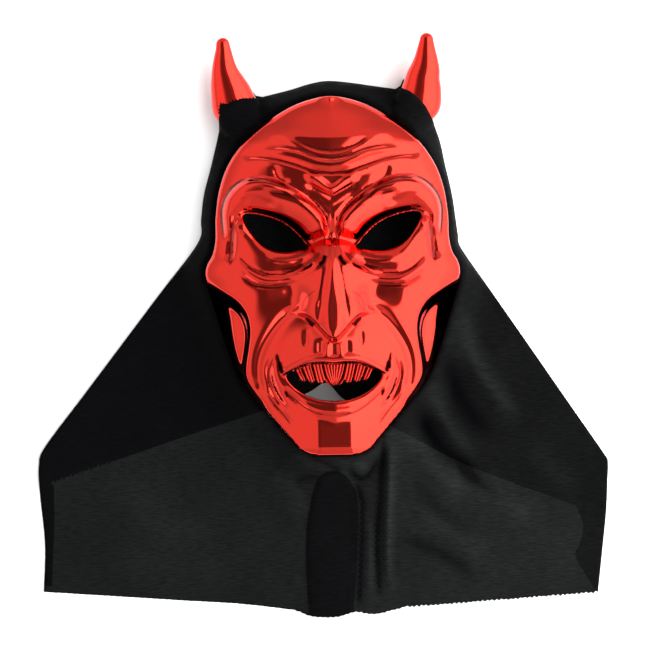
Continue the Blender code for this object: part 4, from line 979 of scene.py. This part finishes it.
@dataclass
class MaskFace:
    """The red face: one moulding with open eyes and mouth and a wall down to its rim."""

    finish: RedLacquer
    relief: FaceRelief
    teeth: Teeth
    step: float = 1.05
    shell: float = 1.5
    depth: float = 1.9
    round_over: float = 1.4
    foot_z: float = 1.9
    box: tuple = ((-92.0, -128.5), (92.0, 128.5))
    back_step: float = 2.4
    teeth_half: float = 37.0
    teeth_low: float = -80.5
    teeth_high: float = -60.0
    teeth_step: float = 0.42
    row_step: float = 0.55
    name: str = "red_face"
    eye: tuple = (
        (17.5, 20.3), (25.0, 29.4), (32.5, 36.0), (41.0, 40.6), (50.0, 43.4), (58.0, 44.8), (63.4, 43.6),
        (62.0, 38.0), (57.6, 31.0), (52.0, 25.0), (45.5, 20.8), (38.5, 18.4), (31.0, 18.0), (23.5, 19.0),
    )
    lower_lip: tuple = (
        (34.2, -71.2), (33.0, -74.2), (29.4, -78.4), (25.0, -81.8), (18.0, -85.7), (10.0, -88.3),
        (0.0, -89.3),
    )

    def mouth_loop(self, spacing: float) -> Line:
        """The mouth's opening: the teeth's scalloped lower ends above and the lower lip below."""
        out = np.arange(0.0, self.teeth.half_row, spacing * 0.5)
        upper = np.column_stack([out, self.teeth.bottom(out)])
        corner = smooth_line(self.teeth.corner, spacing * 0.8)
        lower = smooth_line(self.lower_lip, spacing)
        return mirrored(tuple(map(tuple, np.vstack([upper, corner[:-1], lower]))))

    def loops(self) -> tuple:
        """The outline, the two eyes and the mouth, all clockwise but the left eye."""
        outline = smooth_line(mirrored(self.relief.outline_half), self.step * 1.15, True)
        right_eye = smooth_line(self.eye, self.step, True)
        return outline, right_eye, right_eye[::-1] * (-1.0, 1.0), self.mouth_loop(self.step)

    def at_teeth(self, points: Line) -> np.ndarray:
        """Which points lie over the teeth, where the mesh is finer."""
        across = np.abs(points[:, 0]) < self.teeth_half
        return across & (points[:, 1] > self.teeth_low) & (points[:, 1] < self.teeth_high)

    def free_points(self) -> Line:
        """The outside's free points: an even lattice, finer over the teeth, and rows along each line of
        painted shade and each narrow fold.

        Returns:
            The points' places in the mask's frame, in mm.
        """
        even = lattice(*self.box, self.step)
        fine = lattice((0.1 - self.teeth_half, self.teeth_low + 0.1),
                       (self.teeth_half, self.teeth_high - 0.1),
                       self.teeth_step)
        rows = self.relief.dense_points()
        rows = rows[~self.at_teeth(rows)]
        cells = {(round(px / self.row_step), round(py / self.row_step)): (px, py) for px, py in rows}
        rows = np.array(list(cells.values()))
        even = even[~self.at_teeth(even)]
        spots = {(round(px / self.step), round(py / self.step)) for px, py in rows}
        alone = np.array([(round(px / self.step), round(py / self.step)) not in spots for px, py in even])
        return np.vstack([even[alone], fine, rows])

    def outside(self, corners: Line, loops: tuple) -> np.ndarray:
        """The outside's height at each plan point, rolled over a little at every edge."""
        x, y = corners[:, 0], corners[:, 1]
        z = self.relief.height(x, y) + self.teeth.relief(x, y)
        for loop in loops:
            gap, _, _ = near_line(x, y, round_loop(loop), 3.0)
            into = np.clip(1.0 - gap / self.round_over, 0.0, 1.0)
            z = z - self.round_over * (1.0 - np.sqrt(1.0 - 0.96 * into ** 2)) * 0.8
        return z

    def build(self) -> bpy.types.Object:
        """Make the face.

        Returns:
            The finished piece, declared to the frame.
        """
        loops = self.loops()
        outline, holes = loops[0], loops[1:]
        corners, triangles = filled_plan(loops, self.free_points(), self.step * 0.4)
        z = self.outside(corners, loops)
        lip_in = grown(outline, -self.shell)
        back_loops = (lip_in, *holes)
        back, back_triangles = filled_plan(back_loops, lattice(*self.box, self.back_step), 1.2)
        back_z = self.relief.height(back[:, 0], back[:, 1]) + self.teeth.relief(back[:, 0], back[:, 1])
        back_z = np.maximum(back_z - self.depth, self.foot_z + 1.0)
        points = [np.column_stack([placed(corners), z]), np.column_stack([placed(back), back_z])]
        faces = triangles.tolist() + (back_triangles[:, ::-1] + len(corners)).tolist()

        def indices(loop: Line, among: Line, first: int) -> list:
            """The number of each of a loop's points."""
            return [first + int(np.argmin(np.hypot(among[:, 0] - a, among[:, 1] - b))) for a, b in loop]

        def bridge(upper: list, lower: list) -> None:
            """Join two rings with quads that face out of the upper ring's right-hand run."""
            for k, _ in enumerate(upper):
                after = (k + 1) % len(upper)
                faces.append([upper[k], upper[after], lower[after], lower[k]])

        for hole in holes:
            top, under = indices(hole, corners, 0), indices(hole, back, len(corners))
            bridge(under, top) if self.clockwise(hole) else bridge(top, under)
        ring = indices(outline, corners, 0)
        edge_z = z[np.array(ring)]
        wall = grown(outline, 0.35)
        count = len(corners) + len(back)
        for share in (0.12, 0.3, 0.55, 0.8, 1.0):
            flare = outline + (wall - outline) * min(1.0, 2.0 * share)
            points.append(np.column_stack([placed(flare), edge_z + (self.foot_z - edge_z) * share]))
            lower = list(range(count, count + len(outline)))
            bridge(ring, lower)
            ring = lower
            count += len(outline)
        points.append(np.column_stack([placed(grown(outline, -self.shell + 0.35)),
                                       np.full(len(outline), self.foot_z)]))
        lower = list(range(count, count + len(outline)))
        bridge(ring, lower)
        bridge(lower, indices(lip_in, back, len(corners)))
        piece = mesh_piece(self.name, np.vstack(points), faces)
        # Painted shade: dark lacquer in the thin creases, under the upper lip and between the teeth.
        groove_shade = np.zeros(len(piece.data.vertices), dtype=np.float32)
        x, y = corners[:, 0], corners[:, 1]
        groove_shade[:len(corners)] = np.maximum(self.relief.crease_painted_shade(x, y), self.teeth.shadow(x, y))
        piece.data.attributes.new("groove_shade", "FLOAT", "POINT").data.foreach_set("value", groove_shade)
        piece.data.materials.append(self.finish.make())
        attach(piece, "root")
        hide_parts("mask_shell")
        return piece

    @staticmethod
    def clockwise(loop: Line) -> bool:
        """Whether a loop runs clockwise."""
        after = np.roll(loop, -1, axis=0)
        return float(np.sum(loop[:, 0] * after[:, 1] - after[:, 0] * loop[:, 1])) < 0.0


# The horns


@dataclass
class Horn:
    """One curved tapering horn, an oval tube with a round tip, its root under the cloth."""

    name: str
    node: str
    stations: tuple
    finish: RedLacquer
    flat: float = 0.75
    root_z: float = 16.5
    tip_z: float = 23.0
    spacing: float = 1.5

    def profile(self, spacing: float) -> tuple:
        """The middle line, and the half width and height at each of its points."""
        table = np.asarray(self.stations)
        line = smooth_line(table[:, :2], spacing)
        _, along, _ = line_distance(line[:, 0], line[:, 1], table[:, :2])
        _, at_station, _ = line_distance(table[:, 0], table[:, 1], table[:, :2])
        fine = smooth_line(np.column_stack([at_station * 200.0, table[:, 2]]), 0.5)
        radius = np.interp(along * 200.0, fine[:, 0], fine[:, 1])
        return line, radius, self.root_z + (self.tip_z - self.root_z) * along ** 1.5

    def build(self) -> bpy.types.Object:
        """Make the horn as a bevelled path, flattened into its oval section.

        Returns:
            The finished piece, declared to the frame.
        """
        line, radius, height = self.profile(self.spacing)
        run = line[-1] - line[-2]
        run /= np.hypot(*run)
        turns = np.radians(np.linspace(12.0, 84.0, 9))
        tip = radius[-1]
        line = np.vstack([line, line[-1] + np.outer(np.sin(turns), run) * tip])
        radius = np.concatenate([radius, tip * np.cos(turns)])
        height = np.concatenate([height, np.full(len(turns), height[-1])])
        bpy.ops.object.select_all(action="DESELECT")
        bpy.ops.curve.primitive_nurbs_path_add(location=(0.0, 0.0, 0.0))
        piece = bpy.context.object
        piece.name = self.name
        curve = piece.data
        curve.splines.clear()
        spline = curve.splines.new("POLY")
        spline.points.add(len(line) - 1)
        for point, (x, y), r, z in zip(spline.points, line, radius, height):
            point.co = (x * METRES, y * METRES, z / self.flat * METRES, 1.0)
            point.radius = r * METRES
        curve.dimensions = "3D"
        curve.twist_mode = "Z_UP"
        curve.bevel_depth = 1.0
        curve.bevel_resolution = 14
        curve.use_fill_caps = True
        bpy.ops.object.convert(target="MESH")
        bpy.ops.object.mode_set(mode="EDIT")
        bpy.ops.mesh.select_all(action="SELECT")
        bpy.ops.transform.resize(value=(1.0, 1.0, self.flat), center_override=(0.0, 0.0, 0.0))
        bpy.ops.mesh.remove_doubles(threshold=1e-6)
        bpy.ops.mesh.normals_make_consistent(inside=False)
        bpy.ops.object.mode_set(mode="OBJECT")
        bpy.ops.object.shade_smooth_by_angle(angle=math.radians(50.0))
        piece.data.materials.clear()
        piece.data.materials.append(self.finish.make())
        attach(piece, "root")
        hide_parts(self.node)
        return piece


# The hood


def from_photo(points: tuple) -> tuple:
    """Places given in the picture's frame of 650 by 650, in the object's frame in mm."""
    return tuple(((px - PICTURE_MIDDLE[0]) * PIXEL_MM, (PICTURE_MIDDLE[1] - py) * PIXEL_MM)
                 for px, py in points)


@dataclass
class Hood:
    """The cloth hood: a front layer round the face and over the horns' roots, and a back layer under it."""

    finish: BlackKnit
    relief: FaceRelief
    horns: tuple
    name: str = "black_hood"
    cloth: float = 0.7
    spacing: float = 2.6
    lift: float = 17.6
    spread: float = 15.0
    hem_width: float = 4.2
    # Painted light: the back layer under the face is painted lighter than one layer of cloth.
    painted_light_under_face: float = -1.6
    # How strongly fold crests are painted lighter and their valleys darker.
    crest_painted_light: float = 0.42
    seed: int = 7

    top_line: tuple = (
        (-43.5, 164.3), (-24.0, 169.3), (-9.6, 173.7), (3.3, 175.8), (19.2, 174.6), (35.0, 172.3),
        (51.6, 170.1), (56.6, 169.6), (62.4, 166.5), (68.1, 162.1), (73.2, 156.4), (76.8, 149.9),
        (80.0, 143.4),
    )
    right_line: tuple = (
        (80.0, 143.4), (84.0, 131.9), (87.6, 115.3), (92.6, 93.7), (96.9, 64.9), (99.1, 55.6), (125.0, 18.4),
        (150.0, -17.5), (176.0, -55.0), (201.3, -91.3), (204.7, -98.0), (204.4, -112.2), (203.5, -134.5),
        (200.8, -162.0), (197.7, -192.1),
    )
    ragged_hem: tuple = ((197.7, -192.1), (156.0, -195.3), (114.9, -198.6), (86.0, -200.8), (58.8, -202.9))
    flap_hem: tuple = (
        (58.8, -202.9), (37.9, -207.9), (22.8, -206.5), (9.8, -210.0), (-7.5, -209.6), (-20.4, -205.1),
    )
    plain_hem: tuple = (
        (-20.4, -205.1), (-58.6, -200.7), (-104.0, -198.0), (-152.0, -195.0), (-201.2, -192.1),
    )
    left_line: tuple = (
        (-201.2, -192.1), (-200.4, -157.5), (-204.2, -119.4), (-204.7, -100.7), (-200.4, -87.7),
        (-172.0, -49.8),
        (-145.0, -13.8), (-118.0, 22.2), (-90.3, 59.2), (-88.1, 75.7), (-86.0, 93.7), (-81.6, 111.0),
        (-78.0, 126.0), (-75.2, 139.1), (-74.8, 149.2),
    )
    torn_line: tuple = (
        (-74.8, 149.2), (-74.2, 158.4), (-69.4, 157.8), (-64.4, 160.7), (-56.0, 162.4), (-47.5, 162.8),
    )
    back_hem: tuple = (
        (-206.0, -116.9), (-150.0, -97.5), (-100.0, -80.3), (-49.2, -63.2), (-12.5, -49.2), (2.2, -41.6),
        (14.8, -53.1), (45.1, -70.4), (72.0, -84.8), (99.8, -99.2), (143.0, -115.8), (181.2, -129.5),
        (206.0, -139.0),
    )

    def ragged(self, line: tuple, pitch: float, depth: float) -> Line:
        """A line with an uneven frayed edge.

        Args:
            line: the line's points.
            pitch: the distance between two points of the fray, in mm.
            depth: how far the fray goes in and out, in mm.

        Returns:
            The frayed line's points.
        """
        rng = np.random.default_rng(self.seed)
        smooth = smooth_line(line, pitch)
        run = np.gradient(smooth, axis=0)
        run /= np.hypot(run[:, 0], run[:, 1])[:, None]
        side = np.where(np.arange(len(smooth)) % 2 == 0, 1.0, -1.0)
        side = side * rng.uniform(0.3, 1.0, len(smooth)) * depth
        side[0] = side[-1] = 0.0
        return smooth + np.column_stack([-run[:, 1], run[:, 0]]) * side[:, None]

    def front_outline(self) -> Line:
        """The front layer's outline, clockwise, with its frayed edges."""
        parts = (
            smooth_line(self.top_line, 2.6), smooth_line(self.right_line, 3.0),
            self.ragged(self.ragged_hem, 1.7, 0.9), self.ragged(self.flap_hem, 1.9, 0.5),
            self.ragged(self.plain_hem, 2.2, 0.16), smooth_line(self.left_line, 3.0),
            self.ragged(self.torn_line, 1.25, 0.8),
        )
        return np.vstack([part[:-1] for part in parts] + [parts[-1][-1:]])

    def back_outline(self) -> Line:
        """The back layer's outline, clockwise: two small points behind the horns, and its own hem."""
        top = ((-43.5, 164.0), (-48.6, 165.2), (-53.4, 171.6), (-56.0, 166.0), (-66.0, 156.0),
               (-74.4, 143.0))
        right_top = ((51.6, 169.8), (55.4, 172.4), (57.6, 177.4), (60.6, 171.0), (70.0, 160.0),
                     (79.0, 144.0))
        crown = smooth_line(self.top_line[:7], 4.0)
        right = smooth_line(self.right_line, 4.0)
        left = smooth_line(self.left_line[:-1], 4.0)
        hem = np.asarray(self.back_hem)
        right = right[right[:, 1] > np.interp(right[:, 0], hem[:, 0], hem[:, 1])]
        left = left[left[:, 1] > np.interp(left[:, 0], hem[:, 0], hem[:, 1])]
        low = smooth_line(hem[::-1][1:-1], 3.0)
        low = low[(low[:, 0] < right[-1, 0] - 2.0) & (low[:, 0] > left[0, 0] + 2.0)]
        return np.vstack([crown[:-1], np.asarray(right_top), right[1:], low, left[:-1],
                          np.asarray(top)[::-1][:-1]])

    def seams(self) -> tuple:
        """The lines where one layer of cloth changes to two: back hem, flap and two side strips."""
        hem = smooth_line(self.back_hem[1:-1], 3.0)
        flap_right = smooth_line(from_photo(((329, 471), (337, 471), (345, 475), (352, 484), (357, 497),
                                             (358, 520), (357, 560), (354, 606))), 3.0)
        flap_left = smooth_line(from_photo(((327, 471), (320, 476), (314, 488), (310, 506), (306.5, 530),
                                            (306, 560), (308, 604))), 3.0)
        strip_right = smooth_line(from_photo(((576, 505.5), (583, 525), (580, 543), (575, 555), (584, 572),
                                              (594, 588))), 3.0)
        strip_left = smooth_line(from_photo(((54, 486), (54.5, 520), (53, 560), (52, 586))), 3.0)
        return hem, flap_right, flap_left, strip_right, strip_left

    def back_area(self) -> Line:
        """The part of the plan above the back layer's hem, carried on past the crown."""
        return np.vstack([np.asarray(self.back_hem), (210.0, 220.0), (-210.0, 220.0)])

    def flap_area(self) -> Line:
        """The double flap below the chin, its outline carried on beyond the hem."""
        _, right, left, _, _ = self.seams()
        below = (0.0, -14.0)
        return np.vstack([left, left[-1:] + below, right[-1:] + below, right[::-1]])

    def cape_folds(self) -> tuple:
        """The soft folds of the cape, most of them below the chin and on its right."""
        def fold(kind: FoldKind, pixels: tuple, height: float, width: float, taper: float = 0.3,
                 right_width: float = 0.0) -> Fold:
            """One fold, its line given in the picture's frame."""
            return Fold(kind, from_photo(pixels), height, width, taper, right_width, whole=True)

        return (
            fold(RIDGE, ((456, 300), (462, 322), (475, 365), (500, 400), (522, 428)), 3.4, 7.0),
            fold(RIDGE, ((440, 340), (452, 378), (470, 412), (500, 444)), -2.2, 7.0),
            fold(RIDGE, ((428, 372), (436, 404), (452, 434), (480, 462)), 2.6, 6.0),
            fold(RIDGE, ((414, 392), (426, 424), (442, 448), (462, 464), (492, 494)), -2.6, 6.0),
            fold(RIDGE, ((400, 420), (416, 448), (440, 474), (468, 500)), 2.0, 8.0),
            fold(CREASE, ((385, 428), (382, 460), (380, 500), (377, 545), (381, 604)), 4.2, 1.9, 0.15),
            fold(RIDGE, ((392, 428), (390, 470), (388, 520), (388, 570), (394, 604)), 2.8, 2.8, 0.3),
            fold(RIDGE, ((366, 500), (370, 540), (369, 575), (366, 606)), 1.6, 4.0, 0.3),
            fold(CREASE, ((352, 480), (360, 492), (362.5, 510), (361, 560), (359, 610)), 3.6, 2.2, 0.12),
            fold(CREASE, ((346, 462), (354, 474), (364, 478), (374, 466), (380, 450)), 3.0, 2.2),
            fold(RIDGE, ((352, 458), (360, 468), (368, 462)), 2.2, 3.0),
            fold(CREASE, ((306, 456), (322, 461), (336, 468), (344, 474)), 2.0, 1.5),
            fold(RIDGE, ((392, 532), (430, 548), (462, 566), (480, 592)), -2.4, 6.0),
            fold(RIDGE, ((410, 470), (430, 500), (452, 520), (480, 532)), -1.8, 6.0),
            fold(RIDGE, ((455, 455), (470, 476), (484, 486), (500, 500)), -2.4, 4.0),
            fold(RIDGE, ((404, 516), (446, 530), (490, 556)), 1.4, 9.0),
            fold(RIDGE, ((470, 470), (500, 500), (540, 520)), 1.2, 10.0),
            fold(RIDGE, ((520, 440), (550, 470), (585, 490)), 1.0, 9.0),
            fold(CREASE, ((290, 481), (306, 477), (322, 474)), 1.6, 2.4),
            fold(RIDGE, ((262, 470), (290, 490), (300, 520)), 1.0, 7.0),
            fold(RIDGE, ((100, 470), (160, 520), (230, 545)), 0.7, 14.0),
            fold(RIDGE, ((90, 560), (160, 560), (250, 575)), 0.6, 12.0),
            fold(CREASE, ((336, 85), (352, 93), (370, 104), (392, 112)), 1.0, 2.6),
            fold(RIDGE, ((300, 90), (280, 100), (256, 110)), 0.8, 4.0),
        )

    def horn_cover(self, x: np.ndarray, y: np.ndarray) -> np.ndarray:
        """The height that the cloth needs to pass over the horns' roots."""
        cover = np.zeros(np.shape(x))
        for horn in self.horns:
            line, radius, height = horn.profile(2.0)
            gap, along, _ = near_line(x, y, line, 40.0)
            share = np.linspace(0.0, 1.0, len(line))
            r = np.interp(along, share, radius)
            z = np.interp(along, share, height)
            inner = np.sqrt(np.clip(1.0 - (gap / (r + 2.4)) ** 2, 0.0, None))
            over = (z + 1.2) * ease(inner * 2.2) + horn.flat * r * inner
            cover = np.maximum(cover, np.where(gap < r + 2.4, over, 0.0))
        return cover

    def softness(self, x: np.ndarray, y: np.ndarray) -> np.ndarray:
        """The height of the cape's soft folds at each point, in mm."""
        return sum(fold.relief(x, y) for fold in self.cape_folds())

    def front_heights(self, x: np.ndarray, y: np.ndarray, outline: Line, opening: Line) -> np.ndarray:
        """The front layer's height at each point.

        Args:
            x: the points' places across, in mm.
            y: the points' places up, in mm.
            outline: the front layer's outline.
            opening: the face opening.

        Returns:
            The height of its outside, in mm.
        """
        hem, flap_right, flap_left, _, _ = self.seams()
        away, _, _ = near_line(x, y, round_loop(opening), 60.0)
        to_edge, _, _ = near_line(x, y, round_loop(outline), 30.0)
        shoulder = np.sqrt(1.0 - (1.0 - np.clip(to_edge / 11.0, 0.0, 1.0)) ** 2)
        to_hem, _, _ = near_line(x, y, hem, 20.0)
        doubled = inside(x, y, self.back_area())
        step = np.where(doubled, 1.0, ease(1.0 - to_hem / 5.0)) * 1.0
        cover = np.minimum(self.horn_cover(x, y), self.lift + 1.7 * away)
        raised = self.lift * np.exp(-(away / self.spread) ** 2) * shoulder
        z = 0.9 + step + np.logaddexp(raised / 1.4, cover / 1.4) * 1.4 - 1.4 * math.log(2.0)
        on_flap = inside(x, y, self.flap_area())
        to_right, _, _ = near_line(x, y, flap_right, 12.0)
        to_left, _, _ = near_line(x, y, flap_left, 12.0)
        rolled = np.where(on_flap, ease(np.minimum(to_right, to_left) / 2.2), 0.0)
        z = z + 1.6 * rolled + np.where(on_flap, 1.5 * np.exp(-((to_right - 2.0) / 1.5) ** 2), 0.0)
        soft = self.softness(x, y)
        wave = np.array([noise.noise((a / 46.0, b / 30.0, 3.1)) + 0.5 * noise.noise((a / 19.0, b / 16.0, 8.2))
                         for a, b in zip(x, y)])
        lively = 0.35 + 0.65 * ease((x + 30.0) / 90.0)
        calm = ease(to_edge / 9.0) * ease((away - 1.0) / 8.0)
        z = z + calm * (1.7 * soft + 1.1 * lively * wave)
        z = z + 1.7 * np.exp(-((away - 0.8 * self.hem_width) / (0.5 * self.hem_width)) ** 2)
        low = self.cloth + 0.15 + step * 0.9
        return np.maximum(z, low)

    def layer(self, outline: Line, holes: tuple, lines: tuple, spacing: float) -> tuple:
        """The plan of one layer.

        Args:
            outline: the layer's outline.
            holes: the loops cut out of it.
            lines: lines that the triangles follow.
            spacing: the distance between its points, in mm.

        Returns:
            The plan's points and triangles.
        """
        free = lattice(tuple(outline.min(axis=0)), tuple(outline.max(axis=0)), spacing)
        return filled_plan((outline, *holes), free, spacing * 0.45, lines, spacing * 0.4)

    def front_tone_with_painted_light(self, middle: Line) -> np.ndarray:
        """How dark each face of the front layer is, 1 where a second layer lies under it.

        Crests of the folds get a painted highlight and their valleys painted shade, and the right half is
        painted a little lighter than the left, as light falls more on that side.
        """
        _, _, _, strip_right, strip_left = self.seams()
        x, y = middle[:, 0], middle[:, 1]
        areas = (
            self.back_area(),
            self.flap_area(),
            np.vstack([strip_right, (230.0, -192.0), (230.0, -110.0)]),
            np.vstack([strip_left, (-230.0, -188.0), (-230.0, -100.0)]),
        )
        doubled = np.zeros(len(middle), dtype=bool)
        for area in areas:
            doubled |= inside(x, y, area)
        # Painted highlight on the fold crests and painted shade in their valleys, and painted light over the
        # right half.
        fold_height_for_painted_light = np.clip(self.softness(x, y), -3.0, 3.2)
        right_painted_light = 0.5 * ease((x + 40.0) / 140.0) - 0.14
        return doubled - right_painted_light - self.crest_painted_light * np.where(doubled, 0.7, 1.0) * fold_height_for_painted_light

    def build(self) -> bpy.types.Object:
        """Make the hood.

        Returns:
            The finished piece, declared to the frame.
        """
        outline = self.front_outline()
        opening = placed(grown(smooth_line(mirrored(self.relief.outline_half), 2.2, True), 0.5))
        corners, triangles = self.layer(outline, (opening,), self.seams(), self.spacing)
        z = self.front_heights(corners[:, 0], corners[:, 1], outline, opening)
        dark = self.front_tone_with_painted_light(corners[triangles].mean(axis=1))
        back_line = self.back_outline()
        back_corners, back_triangles = self.layer(back_line, (), (), 6.0)
        first = len(corners)
        back_z = np.full(len(back_corners), self.cloth + 0.1)
        points = np.vstack([np.column_stack([corners, z]), np.column_stack([back_corners, back_z])])
        faces = np.vstack([triangles, back_triangles + first])
        piece = mesh_piece(self.name, points, faces.tolist())
        face_line = placed(smooth_line(mirrored(self.relief.outline_half), 4.0, True))
        behind = back_corners[back_triangles].mean(axis=1)
        # Painted light: under the face the back layer is lighter than the front cloth; elsewhere it takes the
        # two-layer colour.
        back_tone_with_painted_light = np.where(inside(behind[:, 0], behind[:, 1], face_line), self.painted_light_under_face, 1.0)
        # The doubled attribute carries painted light: on the front layer's folds and right half, and on the
        # back layer under the face.
        cloth_tone_with_painted_light = piece.data.attributes.new("doubled", "FLOAT", "FACE")
        cloth_tone_with_painted_light.data.foreach_set("value", np.concatenate([dark, back_tone_with_painted_light]).astype(np.float32))
        piece.data.materials.append(self.finish.make())
        a, b, c = (points[faces[:, k]] for k in range(3))
        area = float(np.linalg.norm(np.cross(b - a, c - a), axis=1).sum() / 2) * METRES ** 2
        LOG.info("hood cloth area %.4f m2", area)
        thicken(piece, self.cloth)
        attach(piece, "root")
        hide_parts("hood")
        return piece


# The studio


@dataclass
class Studio:
    """The pale floor, the soft light with the dark place that the camera takes up, and the camera."""

    floor_size: float = 8.0
    camera_height: float = 4.0
    frame_mm: float = 468.0
    centre: tuple = (1.15, 0.14)
    sensor: float = 36.0
    lamp_place: tuple = (0.75, -0.22, 0.46)
    lamp_aim: tuple = (-0.65, 0.14, -0.44)
    lamp_size: tuple = (0.9, 0.6)
    lamp_watts: float = 7.0

    def floor(self) -> bpy.types.Object:
        """The floor that the hood lies on."""
        bpy.ops.object.select_all(action="DESELECT")
        bpy.ops.mesh.primitive_plane_add(size=self.floor_size, location=(0.0, 0.0, 0.0))
        floor = bpy.context.object
        floor.name = "studio_floor"
        floor.data.materials.append(PaleFloor().make())
        return floor

    def camera(self) -> None:
        """The camera, straight above the mask and far away."""
        data = bpy.data.cameras.new("camera")
        data.sensor_width = self.sensor
        data.lens = self.sensor / (self.frame_mm * METRES) * self.camera_height
        camera = bpy.data.objects.new("camera", data)
        camera.location = (self.centre[0] * METRES, self.centre[1] * METRES, self.camera_height)
        bpy.context.collection.objects.link(camera)
        bpy.context.scene.camera = camera

    def side_light(self) -> None:
        """A soft light, low on the right, for the folds of the cloth, kept out of the lacquer."""
        bpy.ops.object.select_all(action="DESELECT")
        bpy.ops.object.light_add(type="AREA", location=self.lamp_place)
        lamp = bpy.context.object
        lamp.name = "side_light"
        lamp.data.shape = "RECTANGLE"
        lamp.data.size, lamp.data.size_y = self.lamp_size
        lamp.data.energy = self.lamp_watts
        lamp.rotation_euler = Vector(self.lamp_aim).to_track_quat("-Z", "Y").to_euler()
        lamp.visible_glossy = False

    def sky(self) -> None:
        """Soft white light from all round, brighter on the right, and dim in an oblong overhead.

        The strength is worked out step by step from the direction: each row of the table is a new
        value's name, the operation, and the two values or the two limits that it works on.
        """
        world = bpy.data.worlds.new("studio")
        bpy.context.scene.world = world
        world.use_nodes = True
        tree = world.node_tree
        way = add_node(tree, "ShaderNodeSeparateXYZ",
                       {"Vector": add_node(tree, "ShaderNodeTexCoord").outputs["Generated"]}).outputs
        steps = (
            ("up", "MAXIMUM", "z", 0.02),
            ("across", "DIVIDE", "x", "up"), ("along", "DIVIDE", "y", "up"),
            ("leftward", "MULTIPLY", "across", -1.0), ("frontward", "MULTIPLY", "along", -1.0),
            ("width", "ABSOLUTE", "across", 0.0), ("length", "ABSOLUTE", "along", 0.0),
            ("right", "SMOOTH", "across", (0.15, 0.27)), ("left", "SMOOTH", "leftward", (0.36, 0.80)),
            ("ends", "SMOOTH", "length", (0.56, 0.76)),
            ("back_slant", "MULTIPLY", "width", 0.9), ("past_back", "SUBTRACT", "along", "back_slant"),
            ("behind", "SMOOTH", "past_back", (0.1, 0.5)),
            ("front_slant", "MULTIPLY", "width", 2.0),
            ("past_front", "SUBTRACT", "frontward", "front_slant"),
            ("in_front", "SMOOTH", "past_front", (0.1, 0.5)),
            ("at_ends", "MAXIMUM", "behind", "in_front"), ("beside", "SUBTRACT", 1.0, "at_ends"),
            ("right_box", "MULTIPLY", "right", 2.9), ("left_box", "MULTIPLY", "left", 0.32),
            ("boxes", "ADD", "right_box", "left_box"), ("boxes_beside", "MULTIPLY", "boxes", "beside"),
            ("wall", "ADD", "boxes_beside", 0.8),
            ("sides", "MAXIMUM", "right", "left"), ("beyond", "MAXIMUM", "sides", "ends"),
            ("bright", "MULTIPLY", "beyond", "wall"),
            ("half", "SMOOTH", "across", (-0.12, 0.12)), ("half_dim", "MULTIPLY", "half", 0.15),
            ("dim", "ADD", "half_dim", 0.225), ("light", "ADD", "bright", "dim"),
            ("raised", "SMOOTH", "z", (0.05, 0.45)), ("raised_share", "MULTIPLY", "raised", 0.3),
            ("low_dim", "ADD", "raised_share", 0.7), ("strength", "MULTIPLY", "light", "low_dim"),
        )
        made = {"x": way["X"], "y": way["Y"], "z": way["Z"]}
        for name, operation, first, second in steps:
            value = made.get(first, first)
            if operation == "SMOOTH":
                step = add_node(tree, "ShaderNodeMapRange",
                                {"Value": value, "From Min": second[0], "From Max": second[1]},
                                interpolation_type="SMOOTHSTEP")
                made[name] = step.outputs["Result"]
            else:
                step = add_node(tree, "ShaderNodeMath", {0: value, 1: made.get(second, second)},
                                operation=operation)
                made[name] = step.outputs["Value"]
        background = tree.nodes["Background"]
        background.inputs["Color"].default_value = (1.0, 1.0, 1.0, 1.0)
        tree.links.new(made["strength"], background.inputs["Strength"])

    def build(self) -> None:
        """Make the floor, the camera and the light."""
        self.floor()
        self.camera()
        self.side_light()
        self.sky()
        scene = bpy.context.scene
        scene.view_settings.view_transform = "Standard"
        scene.view_settings.look = "None"


def main() -> None:
    """Build every piece in order, and keep the two boxes."""
    logging.basicConfig(level=logging.INFO, format="%(name)s: %(message)s")
    Studio().build()
    relief = FaceRelief()
    mask_red = RedLacquer("red_lacquered_metallised_plastic_vacuum_formed")
    face = MaskFace(mask_red, relief, Teeth()).build()
    LOG.info("%s: %d faces", face.name, len(face.data.polygons))
    left = Horn("red_horn_left", "horn_left", (
        (-60.6, 147.6, 13.0), (-63.4, 156.0, 16.2), (-66.2, 166.0, 14.8),
        (-68.8, 174.4, 12.4), (-70.6, 182.0, 9.7), (-71.4, 189.6, 7.6), (-71.6, 196.0, 6.0),
        (-72.0, 201.0, 4.9),
    ), RedLacquer("red_lacquered_horn_left_moulded", "#de1e0c", "#d42612"))
    right = Horn("red_horn_right", "horn_right", (
        (66.2, 152.0, 13.0), (69.0, 159.5, 15.5), (70.6, 169.6, 14.2), (71.4, 177.0, 12.5),
        (72.9, 184.2, 10.8), (73.5, 191.2, 8.6), (73.6, 198.2, 6.6), (73.8, 204.4, 5.0),
    ), RedLacquer("red_lacquered_horn_right_moulded", "#de1e0c", "#d42612"))
    for horn in (left, right):
        piece = horn.build()
        LOG.info("%s: %d faces", piece.name, len(piece.data.polygons))
    hood = Hood(BlackKnit(), relief, (left, right)).build()
    LOG.info("%s: %d faces", hood.name, len(hood.data.polygons))
    bpy.context.view_layer.update()


if __name__ == "__main__":
    main()
